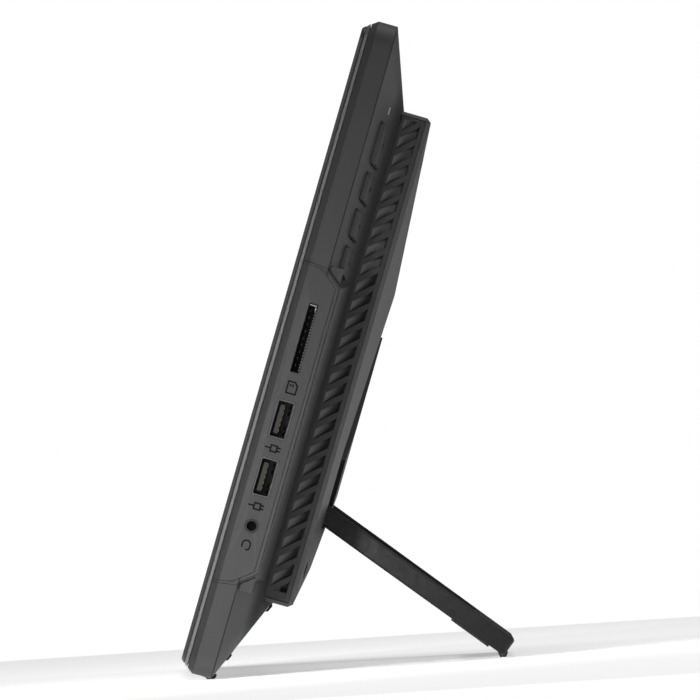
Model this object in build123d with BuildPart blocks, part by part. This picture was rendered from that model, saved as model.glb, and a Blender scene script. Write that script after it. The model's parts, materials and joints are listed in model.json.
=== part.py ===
"""All-in-one PC with a touch of lean: screen, housing, raised back with side vents, and a fold-out stand.

The machine is modelled upright: X across the screen, Y from the front glass to the back, Z up the
screen. At the end every piece is leaned back onto its rear foot and stand, with the floor at Z = 0.
"""

import os
from math import cos, radians, sin, tan

from build123d import *

# ---------------------------------------------------------------- driving dimensions, millimetres
lean = 19.7                     # angle from upright, degrees
half_width = 193.5
top = 239.7
bottom = 0.1
side_depth = 12.2               # where the straight side wall ends and the back starts to slope
shell_front = 3.1
wall = 2.4

slope_run = 26.5                # the sloped side face goes in by this much
slope_rise = 10.2               # while it goes back by this much

hump_half = 167.0
hump_bottom = 31.7
hump_top = 211.7
hump_front = 22.2
hump_back = 32.8
plateau_half = 100.0
plateau_bottom = 74.0
plateau_top = 148.0
plateau_back = 37.4
shoulder_half = 131.0           # half way up to the plateau
shoulder_bottom = 46.5
shoulder_top = 178.0
shoulder_back = 35.2

grille_back = 31.2
grille_depth = 2.2
slot_pitch = 6.7
slot_opening = 3.7
slot_rise = 5.3                 # how far a slot climbs from its front end to its back end
slot_front = 23.4
slot_back = 29.45
slot_first = 207.6

block_inner = 164.0             # where the flare of the port blocks ends
block_joint = 170.0             # the blocks are separate mouldings out from here
block_lip = 0.45                # border of the shell's own surface round a block
block_gap = 0.12

panel_thickness = 2.2
seam = 0.15                     # gap round a fitted panel

usb_places = (95.0, 73.8)
usb_depth = 11.0
usb_size = (6.2, 13.6)
card_place = 124.85
card_size = (2.8, 24.7)
card_depth = 10.7
jack_place = 56.0
jack_depth = 11.1
jack_radius = 1.8

button_depth = 17.2             # where the button row sits on the sloped side face
button_width = 7.0
button_height = 1.6
button_slant = 2.0
button_travel = 0.4
button_gap = 0.35
button_spans = {
    "power_button": (191.0, 206.0),
    "brightness_up_button": (177.5, 187.5),
    "brightness_down_button": (164.0, 174.0),
    "menu_button": (150.4, 160.4),
}
light_place = 210.3

pivot = (33.5, 67.0)            # stand hinge line, depth and height
stand_reach = 82.8              # hinge line to the far edge
stand_thickness = 7.1
stand_droop = 19.84             # the open stand points this far below straight back, degrees
stand_root_half = 131.0
stand_tip_half = 98.0
stand_straight = 24.0           # length of the parallel part of each arm
arm_width = 22.0
bar_width = 16.5
pocket_floor = 29.6
pocket_gap = 0.6
pin_radius = 1.6
pin_clearance = 0.05
knuckle_at = 120.0
knuckle_half = 3.0

mount_half = 37.5               # 75 mm square display mount
mount_centre = 125.3
mount_face = 36.0
insert_radius = 2.9
insert_bore = 1.65

chassis_screw_places = [(-179.6, 24), (179.6, 24), (-179.6, 216), (179.6, 216), (-60, 13.5), (60, 13.5)]
hinge_screw_places = [(x * s, v) for s in (1, -1) for x in (111.5, 128.5) for v in (66, 74)]
cover_screw_places = [(-152, 46), (152, 46), (-152, 197), (152, 197), (-60, 197), (60, 197)]

board_screw_places = [(x, v) for x in (-118, -10, 94) for v in (62, 184)]

lcd_front = 1.8
chassis_front = 5.0
board_front = 9.0
board_thickness = 1.6

pieces = []


# ---------------------------------------------------------------- helpers
def depth(distance):
    """Plane facing the user, at a distance behind the front glass; local x, y are X, Z."""
    return Plane(origin=(0, distance, 0), x_dir=(1, 0, 0), z_dir=(0, -1, 0))


def side(distance):
    """Plane facing +X; local x, y are Y (depth) and Z (height)."""
    return Plane.YZ.offset(distance)


def to_rear(amount, **options):
    """Extrude the pending sketch away from the user."""
    extrude(amount=-amount, **options)


def brick(x, y, z, mode=Mode.ADD):
    """Box between pairs of limits."""
    middle = [(low + high) / 2 for low, high in (x, y, z)]
    size = [high - low for low, high in (x, y, z)]
    with Locations(tuple(middle)):
        Box(*size, mode=mode)


def mirrored(x, sign):
    """A pair of X limits on the chosen side, lowest first."""
    return tuple(sorted((x[0] * sign, x[1] * sign)))


def save(builder, name):
    """Label a finished piece and keep it for export."""
    builder.part.label = name
    pieces.append(builder.part)


def slope_x(distance):
    """Half width of the sloped side face at a depth."""
    return half_width - (distance - side_depth) * slope_run / slope_rise


def outline_points(gap=0.0):
    """Outer outline of the stand; local x across, local y from the hinge line to the free edge."""
    root = stand_root_half + gap
    tip = stand_tip_half + gap
    low = -stand_thickness / 2 - 3 * gap
    high = stand_reach + 3 * gap
    half = [(root, low), (root, stand_straight), (tip, high)]
    return half + [(-x, y) for x, y in reversed(half)]


def opening_points(gap=0.0):
    """Inner opening of the stand, between its arms and its far bar."""
    root = stand_root_half - arm_width - gap
    tip = stand_tip_half - arm_width + 2 - gap
    low = -stand_thickness / 2 - 1
    high = stand_reach - bar_width - gap
    half = [(root, low), (root, stand_straight - 4), (tip, high)]
    return half + [(-x, y) for x, y in reversed(half)]


# planes that belong to the sloped side face: local x runs up the screen, local y outward and forward
slope_length = (slope_run**2 + slope_rise**2) ** 0.5
slope_normal = (slope_rise / slope_length, slope_run / slope_length, 0)
button_row = Plane(origin=(slope_x(button_depth), button_depth, 0), x_dir=(0, 0, 1), z_dir=slope_normal)

# plane of the opened stand; local y runs from the hinge line to the free edge
droop = radians(stand_droop)
opened = Plane(origin=(0, *pivot), x_dir=(1, 0, 0), z_dir=(0, sin(droop), cos(droop)))

# ---------------------------------------------------------------- outer shapes, used to cut and trim
with BuildPart() as wedge:
    middle_height = (top + bottom) / 2
    with BuildSketch(depth(shell_front)):
        with Locations((0, middle_height)):
            RectangleRounded(2 * half_width - 3.2, top - bottom - 3.2, 6.5)
    with BuildSketch(depth(5.3)):
        with Locations((0, middle_height)):
            RectangleRounded(2 * half_width, top - bottom, 8)
    loft(ruled=True)
    with BuildSketch(depth(5.3)):
        with Locations((0, middle_height)):
            RectangleRounded(2 * half_width, top - bottom, 8)
    to_rear(side_depth - 5.3)
    with BuildSketch(depth(side_depth)):
        with Locations((0, middle_height)):
            RectangleRounded(2 * half_width, top - bottom, 8)
    with BuildSketch(depth(26)):
        with Locations((0, (202.4 + 32.7) / 2)):
            RectangleRounded(2 * slope_x(26), 202.4 - 32.7, 8)
    loft(ruled=True)

# raised port blocks on both sides, flush with the side wall
block_rim = [(4, 33.8), (11.6, 34.9), (18.3, 40.2), (18.3, 145.1), (11.8, 150.5), (4, 151.0)]
block_foot = [(4, 31.0), (13.5, 32.4), (21.9, 38.0), (21.9, 147.5), (13.5, 153.4), (4, 154.0)]
with BuildPart() as blocks:
    for sign in (1, -1):
        with BuildSketch(side(sign * half_width)):
            Polygon(*block_rim, align=None)
        with BuildSketch(side(sign * block_inner)):
            Polygon(*block_foot, align=None)
        loft(ruled=True)

with BuildPart() as envelope:
    add(wedge.part)
    add(blocks.part)
    # the blocks follow the chamfered front edge of the side wall
    with BuildSketch(depth(0)):
        with Locations((0, middle_height)):
            RectangleRounded(2 * half_width, top - bottom, 8)
    to_rear(30, mode=Mode.INTERSECT)

with BuildPart() as hump:
    hump_middle = (hump_top + hump_bottom) / 2
    hump_height = hump_top - hump_bottom
    with BuildSketch(depth(hump_front - 8)):
        with Locations((0, hump_middle)):
            RectangleRounded(2 * hump_half, hump_height, 2.2)
    to_rear(grille_back - hump_front + 8)
    with BuildSketch(depth(grille_back)):
        with Locations((0, hump_middle)):
            RectangleRounded(2 * hump_half, hump_height, 2.2)
    with BuildSketch(depth(hump_back)):
        with Locations((0, hump_middle)):
            RectangleRounded(2 * hump_half - 2.6, hump_height - 2.6, 1.6)
    loft(ruled=True)
    with BuildSketch(depth(hump_back)):
        with Locations((0, hump_middle)):
            RectangleRounded(2 * hump_half - 2.6, hump_height - 2.6, 1.6)
    with BuildSketch(depth(shoulder_back)):
        with Locations((0, (shoulder_top + shoulder_bottom) / 2)):
            RectangleRounded(2 * shoulder_half, shoulder_top - shoulder_bottom, 1.6)
    loft(ruled=True)
    with BuildSketch(depth(shoulder_back)):
        with Locations((0, (shoulder_top + shoulder_bottom) / 2)):
            RectangleRounded(2 * shoulder_half, shoulder_top - shoulder_bottom, 1.6)
    with BuildSketch(depth(plateau_back)):
        with Locations((0, (plateau_top + plateau_bottom) / 2)):
            RectangleRounded(2 * plateau_half, plateau_top - plateau_bottom, 1.6)
    loft(ruled=True)

# ---------------------------------------------------------------- screen
with BuildPart() as front_glass:
    with BuildSketch(depth(1.7)):
        with Locations((0, middle_height)):
            RectangleRounded(380.8, 233.8, 5)
    extrude(amount=1.5)
    chamfer(front_glass.edges().group_by(Axis.Y)[0], 1.0)
save(front_glass, "front_glass")

with BuildPart() as bezel_ring:
    with BuildSketch(depth(2.8)):
        with Locations((0, middle_height)):
            RectangleRounded(383.2, 236.2, 5.8)
            RectangleRounded(372, 228, 3, mode=Mode.SUBTRACT)
    extrude(amount=1.1)
    chamfer(bezel_ring.edges().group_by(Axis.Y)[0].filter_by(lambda edge: abs(edge.center().X) > 185
            or abs(edge.center().Z - middle_height) > 115), 1.0)
    with BuildSketch(depth(2.8)):
        with Locations((0, middle_height)):
            RectangleRounded(380.4, 232.6, 5)
            RectangleRounded(377.2, 229.4, 4, mode=Mode.SUBTRACT)
    to_rear(2.0)
save(bezel_ring, "bezel_ring")

with BuildPart() as lcd_panel:
    with BuildSketch(depth(lcd_front)):
        with Locations((0, 120.2)):
            RectangleRounded(354, 203, 1.5)
    to_rear(2.9)
    with BuildSketch(depth(lcd_front + 0.5)):
        with Locations((0, 21.5)):
            Rectangle(240, 7)
    to_rear(2.3)
save(lcd_panel, "lcd_panel")

with BuildPart() as panel_chassis:
    brick((-184, 184), (chassis_front, chassis_front + 0.8), (9, 224))
    with BuildSketch(depth(chassis_front)):
        with Locations((0, 116.5)):
            Rectangle(368, 215)
            Rectangle(364, 211, mode=Mode.SUBTRACT)
    extrude(amount=1.8)
    # stiffening ribs pressed into the plate, and a window for the panel cable
    with BuildSketch(depth(chassis_front + 0.8)):
        with GridLocations(300, 150, 2, 2):
            with Locations((0, 116.5)):
                RectangleRounded(36, 18, 4)
    to_rear(1.6)
    with BuildSketch(depth(chassis_front)):
        with Locations((-60, 30)):
            RectangleRounded(34, 12, 2)
        with Locations(*chassis_screw_places):
            Circle(1.5)
    to_rear(1, mode=Mode.SUBTRACT)
    # posts for the back cover's screws and standoffs for the main board
    with BuildSketch(depth(chassis_front + 0.8)):
        with Locations(*cover_screw_places):
            Circle(3)
    to_rear(27 - chassis_front - 0.8)
    with BuildSketch(depth(chassis_front + 0.8)):
        with Locations(*board_screw_places):
            Circle(2.5)
    to_rear(board_front - chassis_front - 0.8)
    with BuildSketch(depth(27)):
        with Locations(*cover_screw_places):
            Circle(1.5)
    extrude(amount=9, mode=Mode.SUBTRACT)
    with BuildSketch(depth(board_front)):
        with Locations(*board_screw_places):
            Circle(1.2)
    extrude(amount=2.5, mode=Mode.SUBTRACT)
save(panel_chassis, "panel_chassis")

with BuildPart() as webcam_module:
    brick((-18, 18), (3.6, 6.8), (226.2, 232.6))
    with BuildSketch(depth(3.6)):
        with Locations((0, 229.4)):
            Circle(2.9)
            Circle(1.65, mode=Mode.SUBTRACT)
    extrude(amount=1.6)
save(webcam_module, "webcam_module")

with BuildPart() as webcam_lens:
    with BuildSketch(depth(3.6)):
        with Locations((0, 229.4)):
            Circle(1.6)
    extrude(amount=1.4)
    chamfer(webcam_lens.edges().group_by(Axis.Y)[0], 0.4)
save(webcam_lens, "webcam_lens")

with BuildPart() as microphones:
    with BuildSketch(depth(1.9)):
        with Locations((-42, 229.4), (42, 229.4)):
            RectangleRounded(4, 3, 0.4)
    to_rear(1.1)
save(microphones, "microphones")

# ---------------------------------------------------------------- rear housing
panel_outline = [(3.0, 34.3), (9.8, 35.1), (16.6, 40.6), (16.7, 144.5), (10.1, 150.1), (3.0, 150.6)]
rim_groove = [(12.0, 35.6), (17.9, 40.4), (17.9, 144.9), (12.2, 149.7)]
wall_shift = wall / slope_normal[1]      # the inner slope is the outer one moved forward by this
inner_bend = side_depth - wall_shift + 2.9 * slope_rise / slope_run


def button_outline(low, high, gap=0.0):
    """Slanted button face; local x up the screen, local y outward."""
    edge = button_width / 2 + gap
    low -= gap
    high += gap
    return [(low, edge), (low - button_slant, -edge), (high - button_slant, -edge), (high, edge)]


with BuildPart() as whole_shell:
    add(envelope.part)
    # the hollow inside: straight behind the side walls, then parallel to the sloped back
    with BuildSketch(depth(0)):
        with Locations((0, middle_height)):
            RectangleRounded(2 * half_width - 5.8, top - bottom - 5.8, 5.5)
    to_rear(inner_bend, mode=Mode.SUBTRACT)
    with BuildSketch(depth(inner_bend)):
        with Locations((0, middle_height)):
            RectangleRounded(2 * half_width - 5.8, top - bottom - 5.8, 5.5)
    with BuildSketch(depth(26 - wall_shift)):
        with Locations((0, (202.4 + 32.7) / 2)):
            RectangleRounded(2 * slope_x(26), 202.4 - 32.7, 5.5)
    loft(ruled=True, mode=Mode.SUBTRACT)
    brick((-163.5, 163.5), (14, 30), (35.2, 208.2), mode=Mode.SUBTRACT)
    for sign in (1, -1):
        # room for the ports, the ledge that backs the port panel and the window in that ledge
        brick(mirrored((160, 190.6), sign), (6, 16.4), (37.4, 147.6), mode=Mode.SUBTRACT)
        brick(mirrored((188.9, 191.5), sign), (5, 17.6), (33, 152))
        brick(mirrored((180, 192), sign), (6.4, 15.6), (39.4, 146), mode=Mode.SUBTRACT)
        with BuildSketch(side(sign * (half_width - panel_thickness))):
            Polygon(*panel_outline, align=None)
        extrude(amount=sign * 4, mode=Mode.SUBTRACT)
    # bosses that the panel chassis is screwed to
    with BuildSketch(depth(chassis_front + 1.0)):
        with Locations(*chassis_screw_places):
            Circle(3)
    to_rear(9.6)
    with BuildSketch(depth(chassis_front + 0.8)):
        with Locations(*chassis_screw_places):
            Circle(1.25)
    to_rear(6.4, mode=Mode.SUBTRACT)
    for sign in (1, -1):
        # fine groove just inside the rim of the port block
        with BuildSketch(side(sign * (half_width - 0.5))):
            for low, high in zip(rim_groove, rim_groove[1:]):
                with BuildLine():
                    Line(low, high)
                trace(line_width=0.32)
        extrude(amount=sign * 2, mode=Mode.SUBTRACT)
    # holes for the buttons and the status light in the sloped face
    with BuildSketch(button_row):
        for low, high in button_spans.values():
            Polygon(*button_outline(low, high, button_gap), align=None)
        with Locations((light_place, -1)):
            Rectangle(3.2, 2.2)
    extrude(amount=6, both=True, mode=Mode.SUBTRACT)
    # recesses for the rubber feet at the lower rear corner
    for sign in (1, -1):
        brick(mirrored((118.0, 168.0), sign), (9.4, 13.8), (-2, 1.4), mode=Mode.SUBTRACT)


def block_section(x):
    """Outline of a port block at a distance from the middle, run on past the front of the shell."""
    share = (half_width - x) / (half_width - block_inner)
    points = [(a + (c - a) * share, b + (d - b) * share) for (a, b), (c, d) in zip(block_rim, block_foot)]
    return [(2.0, points[0][1] - 0.3)] + points[1:-1] + [(2.0, points[-1][1] + 0.15)]


def block_space(sign, gap):
    """Stretch of the shell's side that one port block takes up."""
    with BuildPart() as space:
        for x in (half_width + 1, block_joint + gap):
            with BuildSketch(side(sign * x)):
                Polygon(*block_section(x), align=None)
                offset(amount=block_lip - gap, kind=Kind.INTERSECTION)
        loft(ruled=True)
    return space


with BuildPart() as rear_shell:
    add(whole_shell.part)
    for sign in (1, -1):
        add(block_space(sign, 0).part, mode=Mode.SUBTRACT)
save(rear_shell, "rear_shell")

for sign, hand in ((1, "right"), (-1, "left")):
    with BuildPart() as port_block:
        add(whole_shell.part)
        add(block_space(sign, block_gap).part, mode=Mode.INTERSECT)
    save(port_block, f"port_block_{hand}")


def port_panel(sign, cuts):
    """Fitted panel of one side wall; cuts are sketch faces in the side plane, given as (size, place)."""
    with BuildPart() as panel:
        add(envelope.part)
        with BuildSketch(side(sign * (half_width - panel_thickness))) as shape:
            Polygon(*panel_outline, align=None)
            offset(amount=-seam)
        extrude(amount=sign * 4, mode=Mode.INTERSECT)
        with BuildSketch(side(sign * (half_width - 4))):
            for size, place in cuts:
                with Locations(place):
                    if len(size) == 1:
                        Circle(size[0])
                    else:
                        RectangleRounded(*size, 0.6)
        extrude(amount=sign * 8, mode=Mode.SUBTRACT)
    return panel


fit = 0.15                      # clearance round a port in its panel
usb_cut = (usb_size[0] + 2 * fit, usb_size[1] + 2 * fit)
side_cuts = [(usb_cut, (usb_depth, place)) for place in usb_places]
side_cuts.append(((card_size[0] + 0.6, card_size[1] + 0.6), (card_depth, card_place)))
side_cuts.append(((2.4 + fit,), (jack_depth, jack_place)))
side_io_panel = port_panel(1, side_cuts)
save(side_io_panel, "side_io_panel")

# hidden side: power inlet, network, display, two USB sockets and a lock slot
inlet_place = (11.0, 136.0)
network_place = (10.55, 117.5)
network_size = (8.1, 15.0)
display_place = (11.0, 98.5)
display_size = (5.4, 15.2)
left_usb_places = (80.5, 62.5)
lock_place = (11.0, 48.0)
left_cuts = [
    ((3.6 + fit,), inlet_place),
    ((network_size[0] + 2 * fit, network_size[1] + 2 * fit), network_place),
    ((display_size[0] + 2 * fit, display_size[1] + 2 * fit), display_place),
    ((3.0 + 0.6, 7.0 + 0.6), lock_place),
]
left_cuts += [(usb_cut, (usb_depth, place)) for place in left_usb_places]
left_io_panel = port_panel(-1, left_cuts)
save(left_io_panel, "left_io_panel")

# ---------------------------------------------------------------- raised back and its vents
with BuildPart() as pocket_tray:
    # walls and floor round the folded stand, and bosses for the display-mount inserts
    with BuildSketch(depth(pocket_floor - 2)):
        with Locations((0, pivot[1])):
            Polygon(*outline_points(pocket_gap + 2.2), align=None)
        with Locations((0, pivot[1])):
            Polygon(*opening_points(pocket_gap + 2.2), align=None, mode=Mode.SUBTRACT)
    to_rear(14)
    with BuildSketch(depth(mount_face - 9)):
        with Locations((0, mount_centre)):
            with GridLocations(2 * mount_half, 2 * mount_half, 2, 2):
                Circle(5.5)
        with Locations(*cover_screw_places):
            Circle(4.2)
    to_rear(14)
    add(hump.part, mode=Mode.INTERSECT)

with BuildPart() as back_cover:
    add(hump.part)
    brick((-163.5, 163.5), (0, 30.6), (35.2, 208.2), mode=Mode.SUBTRACT)
    with BuildSketch(depth(30.6)):
        with Locations((0, (35.2 + 208.2) / 2)):
            Rectangle(327, 173)
    with BuildSketch(depth(plateau_back - 2.2)):
        with Locations((0, (plateau_top + plateau_bottom) / 2)):
            Rectangle(2 * plateau_half - 4, plateau_top - plateau_bottom - 4)
    loft(ruled=True, mode=Mode.SUBTRACT)
    add(pocket_tray.part)
    add(envelope.part, mode=Mode.SUBTRACT)
    # pocket that the stand folds into, with a finger scoop above its free edge
    with BuildSketch(depth(pocket_floor)):
        with Locations((0, pivot[1])):
            Polygon(*outline_points(pocket_gap), align=None)
        with Locations((0, pivot[1])):
            Polygon(*opening_points(pocket_gap), align=None, mode=Mode.SUBTRACT)
    to_rear(12, mode=Mode.SUBTRACT)
    with BuildSketch(depth(33.0)):
        with Locations((0, 153)):
            RectangleRounded(34, 12, 5)
    to_rear(8, mode=Mode.SUBTRACT)
    # rebates and windows for the side vents
    for sign in (1, -1):
        rebate = mirrored((hump_half - grille_depth, 170), sign)
        brick(rebate, (0, grille_back), (33.2, 210.2), mode=Mode.SUBTRACT)
        brick(mirrored((160, 170), sign), (23.2, 29.7), (38, 206.5), mode=Mode.SUBTRACT)
    # spot faces and holes of the display mount
    with BuildSketch(depth(mount_face)):
        with Locations((0, mount_centre)):
            with GridLocations(2 * mount_half, 2 * mount_half, 2, 2):
                Circle(5)
    to_rear(4, mode=Mode.SUBTRACT)
    with BuildSketch(depth(mount_face - 7.8)):
        with Locations((0, mount_centre)):
            with GridLocations(2 * mount_half, 2 * mount_half, 2, 2):
                Circle(insert_radius)
    to_rear(9, mode=Mode.SUBTRACT)
    # counterbored screw holes
    with BuildSketch(depth(20)):
        with Locations(*cover_screw_places):
            Circle(1.6)
    to_rear(20, mode=Mode.SUBTRACT)
    with BuildSketch(depth(31.2)):
        with Locations(*cover_screw_places):
            Circle(3.2)
    to_rear(8, mode=Mode.SUBTRACT)
    # windows for the hinge knuckles, and pilot holes for the bracket screws
    with BuildSketch(depth(26)):
        with Locations(*hinge_screw_places):
            Circle(1.0)
    to_rear(3.2, mode=Mode.SUBTRACT)
    for sign in (1, -1):
        brick(mirrored((knuckle_at - 3.4, knuckle_at + 3.4), sign), (26, 30), (63, 71), mode=Mode.SUBTRACT)
save(back_cover, "back_cover")


def vent_grille(sign):
    """Slanted louvre strip of one side of the raised back."""
    with BuildPart() as grille:
        across = mirrored((hump_half - grille_depth, hump_half), sign)
        brick(across, (hump_front - 8, grille_back - 0.1), (33.3, 210.1))
        add(envelope.part, mode=Mode.SUBTRACT)
        half_rise = slot_rise / 2
        centre = (slot_front + slot_back) / 2
        half_run = (slot_back - slot_front) / 2
        with BuildSketch(side(sign * (hump_half - 5))):
            for number in range(-1, 26):
                level = slot_first - slot_pitch * number - half_rise - slot_opening / 2
                low = level - slot_opening / 2
                high = level + slot_opening / 2
                Polygon(
                    (centre - half_run, low - half_rise),
                    (centre + half_run, low + half_rise),
                    (centre + half_run, high + half_rise),
                    (centre - half_run, high - half_rise),
                    align=None,
                )
            with Locations((centre, (209.2 + 36.3) / 2)):
                Rectangle(2 * half_run, 209.2 - 36.3, mode=Mode.INTERSECT)
        extrude(amount=sign * 8, mode=Mode.SUBTRACT)
    return grille


vent_grille_right = vent_grille(1)
save(vent_grille_right, "vent_grille_right")
vent_grille_left = vent_grille(-1)
save(vent_grille_left, "vent_grille_left")


# ---------------------------------------------------------------- ports and buttons
port_face = half_width - 0.5    # the metal ports end just below the panel's face


def usb_port(sign, place):
    """Square metal shell lying on its side, with its tongue toward the screen."""
    wide, tall = usb_size
    with BuildPart() as port:
        with BuildSketch(side(sign * port_face)):
            with Locations((usb_depth, place)):
                RectangleRounded(wide, tall, 0.5)
                RectangleRounded(wide - 0.8, tall - 1.6, 0.3, mode=Mode.SUBTRACT)
        extrude(amount=-sign * 14)
        with BuildSketch(side(sign * (port_face - 12.5))):
            with Locations((usb_depth, place)):
                RectangleRounded(wide, tall, 0.5)
        extrude(amount=-sign * 1.5)
        tongue = mirrored((port_face - 13, port_face - 1.2), sign)
        brick(tongue, (usb_depth - 1.75, usb_depth - 0.15), (place - 5.2, place + 5.2))
        # bent tabs that hold the port on its board
        tab = mirrored((port_face - 12, port_face - 10), sign)
        brick(tab, (usb_depth + 3.1, 14.6), (place - 6.8, place + 6.8))
    return port


def plate(sign, x, y, z):
    """Circuit board or other flat slab on one side."""
    with BuildPart() as slab:
        brick(mirrored(x, sign), y, z)
    return slab


for place, name in zip(usb_places, ("usb_port_upper", "usb_port_lower")):
    save(usb_port(1, place), name)
for place, name in zip(left_usb_places, ("left_usb_port_upper", "left_usb_port_lower")):
    save(usb_port(-1, place), name)

with BuildPart() as card_reader:
    card_front = card_depth - card_size[0] / 2
    brick((166, 191.2), (card_front - 0.5, card_depth + 1.9), (card_place - 12.9, card_place + 12.9))
    mouth = (card_place - 12.35, card_place + 12.35)
    brick((169, 194), (card_front, card_depth + 1.4), mouth, mode=Mode.SUBTRACT)
    # contact block along the front wall of the slot
    brick((167, 186), (card_front - 0.3, card_front + 0.5), (card_place - 10, card_place + 10))
    for level in (card_place - 9, card_place + 9):
        brick((168, 172), (card_depth + 1.8, 14.6), (level - 1, level + 1))
save(card_reader, "card_reader")

with BuildPart() as headset_jack:
    brick((179.5, 190.5), (8.1, 14.6), (jack_place - 3.2, jack_place + 3.2))
    with BuildSketch(side(190.5)):
        with Locations((jack_depth, jack_place)):
            Circle(2.4)
    extrude(amount=2.7)
    with BuildSketch(side(179.0 + 2.0)):
        with Locations((jack_depth, jack_place)):
            Circle(jack_radius)
    extrude(amount=14, mode=Mode.SUBTRACT)
save(headset_jack, "headset_jack")

save(plate(1, (160, 188.5), (14.6, 15.8), (42, 143)), "side_io_board")
save(plate(-1, (160, 188.5), (14.6, 15.8), (42, 143)), "left_io_board")

with BuildPart() as power_inlet:
    brick((-188.5, -176), (7.0, 14.6), (131.6, 140.4))
    with BuildSketch(side(-188.5)):
        with Locations(inlet_place):
            Circle(3.6)
    extrude(amount=-4.4)
    with BuildSketch(side(-178.5)):
        with Locations(inlet_place):
            Circle(2.75)
    extrude(amount=-16, mode=Mode.SUBTRACT)
    with BuildSketch(side(-178)):
        with Locations(inlet_place):
            Circle(1.0)
    extrude(amount=-12)
save(power_inlet, "power_inlet")

with BuildPart() as network_port:
    place = network_place[1]
    brick((-port_face, -172), (6.5, 14.6), (place - 7.5, place + 7.5))
    brick((-200, -174), (7.1, 14.0), (place - 5.9, place + 5.9), mode=Mode.SUBTRACT)
    brick((-200, -178), (6.8, 7.2), (place - 3.0, place + 3.0), mode=Mode.SUBTRACT)
    for number in range(8):
        level = place - 3.57 + number * 1.02
        brick((-186, -174), (13.4, 14.0), (level - 0.2, level + 0.2))
save(network_port, "network_port")

with BuildPart() as display_port:
    place = display_place[1]
    with BuildSketch(side(-port_face)):
        with Locations(display_place):
            RectangleRounded(display_size[0], display_size[1], 0.5)
            RectangleRounded(display_size[0] - 0.8, display_size[1] - 0.8, 0.3, mode=Mode.SUBTRACT)
    extrude(amount=12)
    brick((-182.5, -181), (8.3, 14.6), (place - 7.6, place + 7.6))
    brick((-port_face + 1.2, -182), (10.4, 11.6), (place - 5.2, place + 5.2))
save(display_port, "display_port")

with BuildPart() as lock_slot_plate:
    brick((-190.6, -189.4), (8, 14), (42.6, 53.4))
    with BuildSketch(side(-180)):
        with Locations(lock_place):
            RectangleRounded(3, 7, 0.4)
    extrude(amount=-20, mode=Mode.SUBTRACT)
save(lock_slot_plate, "lock_slot_plate")


def button(low, high):
    """Slanted push button with the flange that holds it behind the sloped face."""
    with BuildPart() as cap:
        with BuildSketch(button_row.offset(-wall - 0.6)):
            Polygon(*button_outline(low, high), align=None)
        extrude(amount=wall + 0.6 + button_height)
        chamfer(cap.faces().sort_by(Axis((0, 0, 0), slope_normal))[-1].edges(), 0.35)
        with BuildSketch(button_row.offset(-wall - 1.4)):
            Polygon(*button_outline(low, high, 1.0), align=None)
        extrude(amount=1.0)
    return cap


for name, (low, high) in button_spans.items():
    save(button(low, high), name)

switch_top = -wall - 1.4 - button_travel - 0.1
with BuildPart() as button_switches:
    for low, high in button_spans.values():
        with BuildSketch(button_row.offset(switch_top - 1.6)):
            with Locations(((low + high - button_slant) / 2, 0)):
                Rectangle(5, 5)
        extrude(amount=1.0)
        with BuildSketch(button_row.offset(switch_top - 0.6)):
            with Locations(((low + high - button_slant) / 2, 0)):
                Circle(1.3)
        extrude(amount=0.6)
save(button_switches, "button_switches")

with BuildPart() as button_board:
    with BuildSketch(button_row.offset(switch_top - 2.6)):
        with Locations((180.5, 0)):
            Rectangle(62, 9)
    extrude(amount=1.0)
save(button_board, "button_board")

with BuildPart() as light_pipe:
    with BuildSketch(button_row.offset(-5.6)):
        with Locations((light_place, -1)):
            Rectangle(2.9, 1.9)
    extrude(amount=5.5)
save(light_pipe, "light_pipe")


# ---------------------------------------------------------------- stand and feet
def floor_height(distance):
    """Height of the floor under a depth, before the machine is leaned back."""
    return (distance - 12.0) * tan(radians(lean)) - 0.3


def stand_point(along, above):
    """Depth and height of a point given along the opened stand and square to it."""
    return (
        pivot[0] + along * cos(droop) + above * sin(droop),
        pivot[1] - along * sin(droop) + above * cos(droop),
    )


strip_section = [
    stand_point(80.4, -stand_thickness / 2),
    (109.3, floor_height(109.3)),
    (111.3, floor_height(111.3)),
    stand_point(83.5, -1.7),
    stand_point(stand_reach, -1.3),
    stand_point(81.2, -2.0),
]
half_thick = stand_thickness / 2
pad_places = [(-91, 68.2), (91, 68.2)]

with BuildPart() as stand_frame:
    with BuildSketch(opened.offset(-half_thick)) as frame_shape:
        Polygon(*outline_points(), align=None)
        fillet(frame_shape.vertices().sort_by(Axis.Y)[-2:], 7)
        Polygon(*opening_points(), align=None, mode=Mode.SUBTRACT)
    extrude(amount=stand_thickness)
    chamfer(stand_frame.faces().sort_by(Axis((0, 0, 0), tuple(opened.z_dir)))[-1].edges(), 0.7)
    chamfer(stand_frame.faces().sort_by(Axis((0, 0, 0), tuple(opened.z_dir)))[0].edges(), 0.7)
    with BuildSketch(opened.offset(-10)):
        with Locations((0, -10)):
            Rectangle(300, 20)
    extrude(amount=20, mode=Mode.SUBTRACT)
    for sign in (1, -1):
        with BuildSketch(side(sign * (stand_root_half - arm_width))):
            with Locations(pivot):
                Circle(half_thick)
        extrude(amount=sign * arm_width)
        # slot for the fixed knuckle, and the hole for the pin
        with BuildSketch(opened.offset(-10)):
            with Locations((sign * knuckle_at, 0)):
                Rectangle(2 * knuckle_half + 0.8, 8.6)
        extrude(amount=20, mode=Mode.SUBTRACT)
        with BuildSketch(side(sign * 105)):
            with Locations(pivot):
                Circle(pin_radius + pin_clearance)
        extrude(amount=sign * 24.6, mode=Mode.SUBTRACT)
    # seats of the rubber pads and of the edge strip
    with BuildSketch(opened.offset(-half_thick)):
        with Locations(*pad_places):
            RectangleRounded(14, 16.3, 2)
    extrude(amount=0.8, mode=Mode.SUBTRACT)
    with BuildSketch(side(-70)):
        Polygon(*strip_section, align=None)
    extrude(amount=140, mode=Mode.SUBTRACT)
save(stand_frame, "stand_frame")

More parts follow.
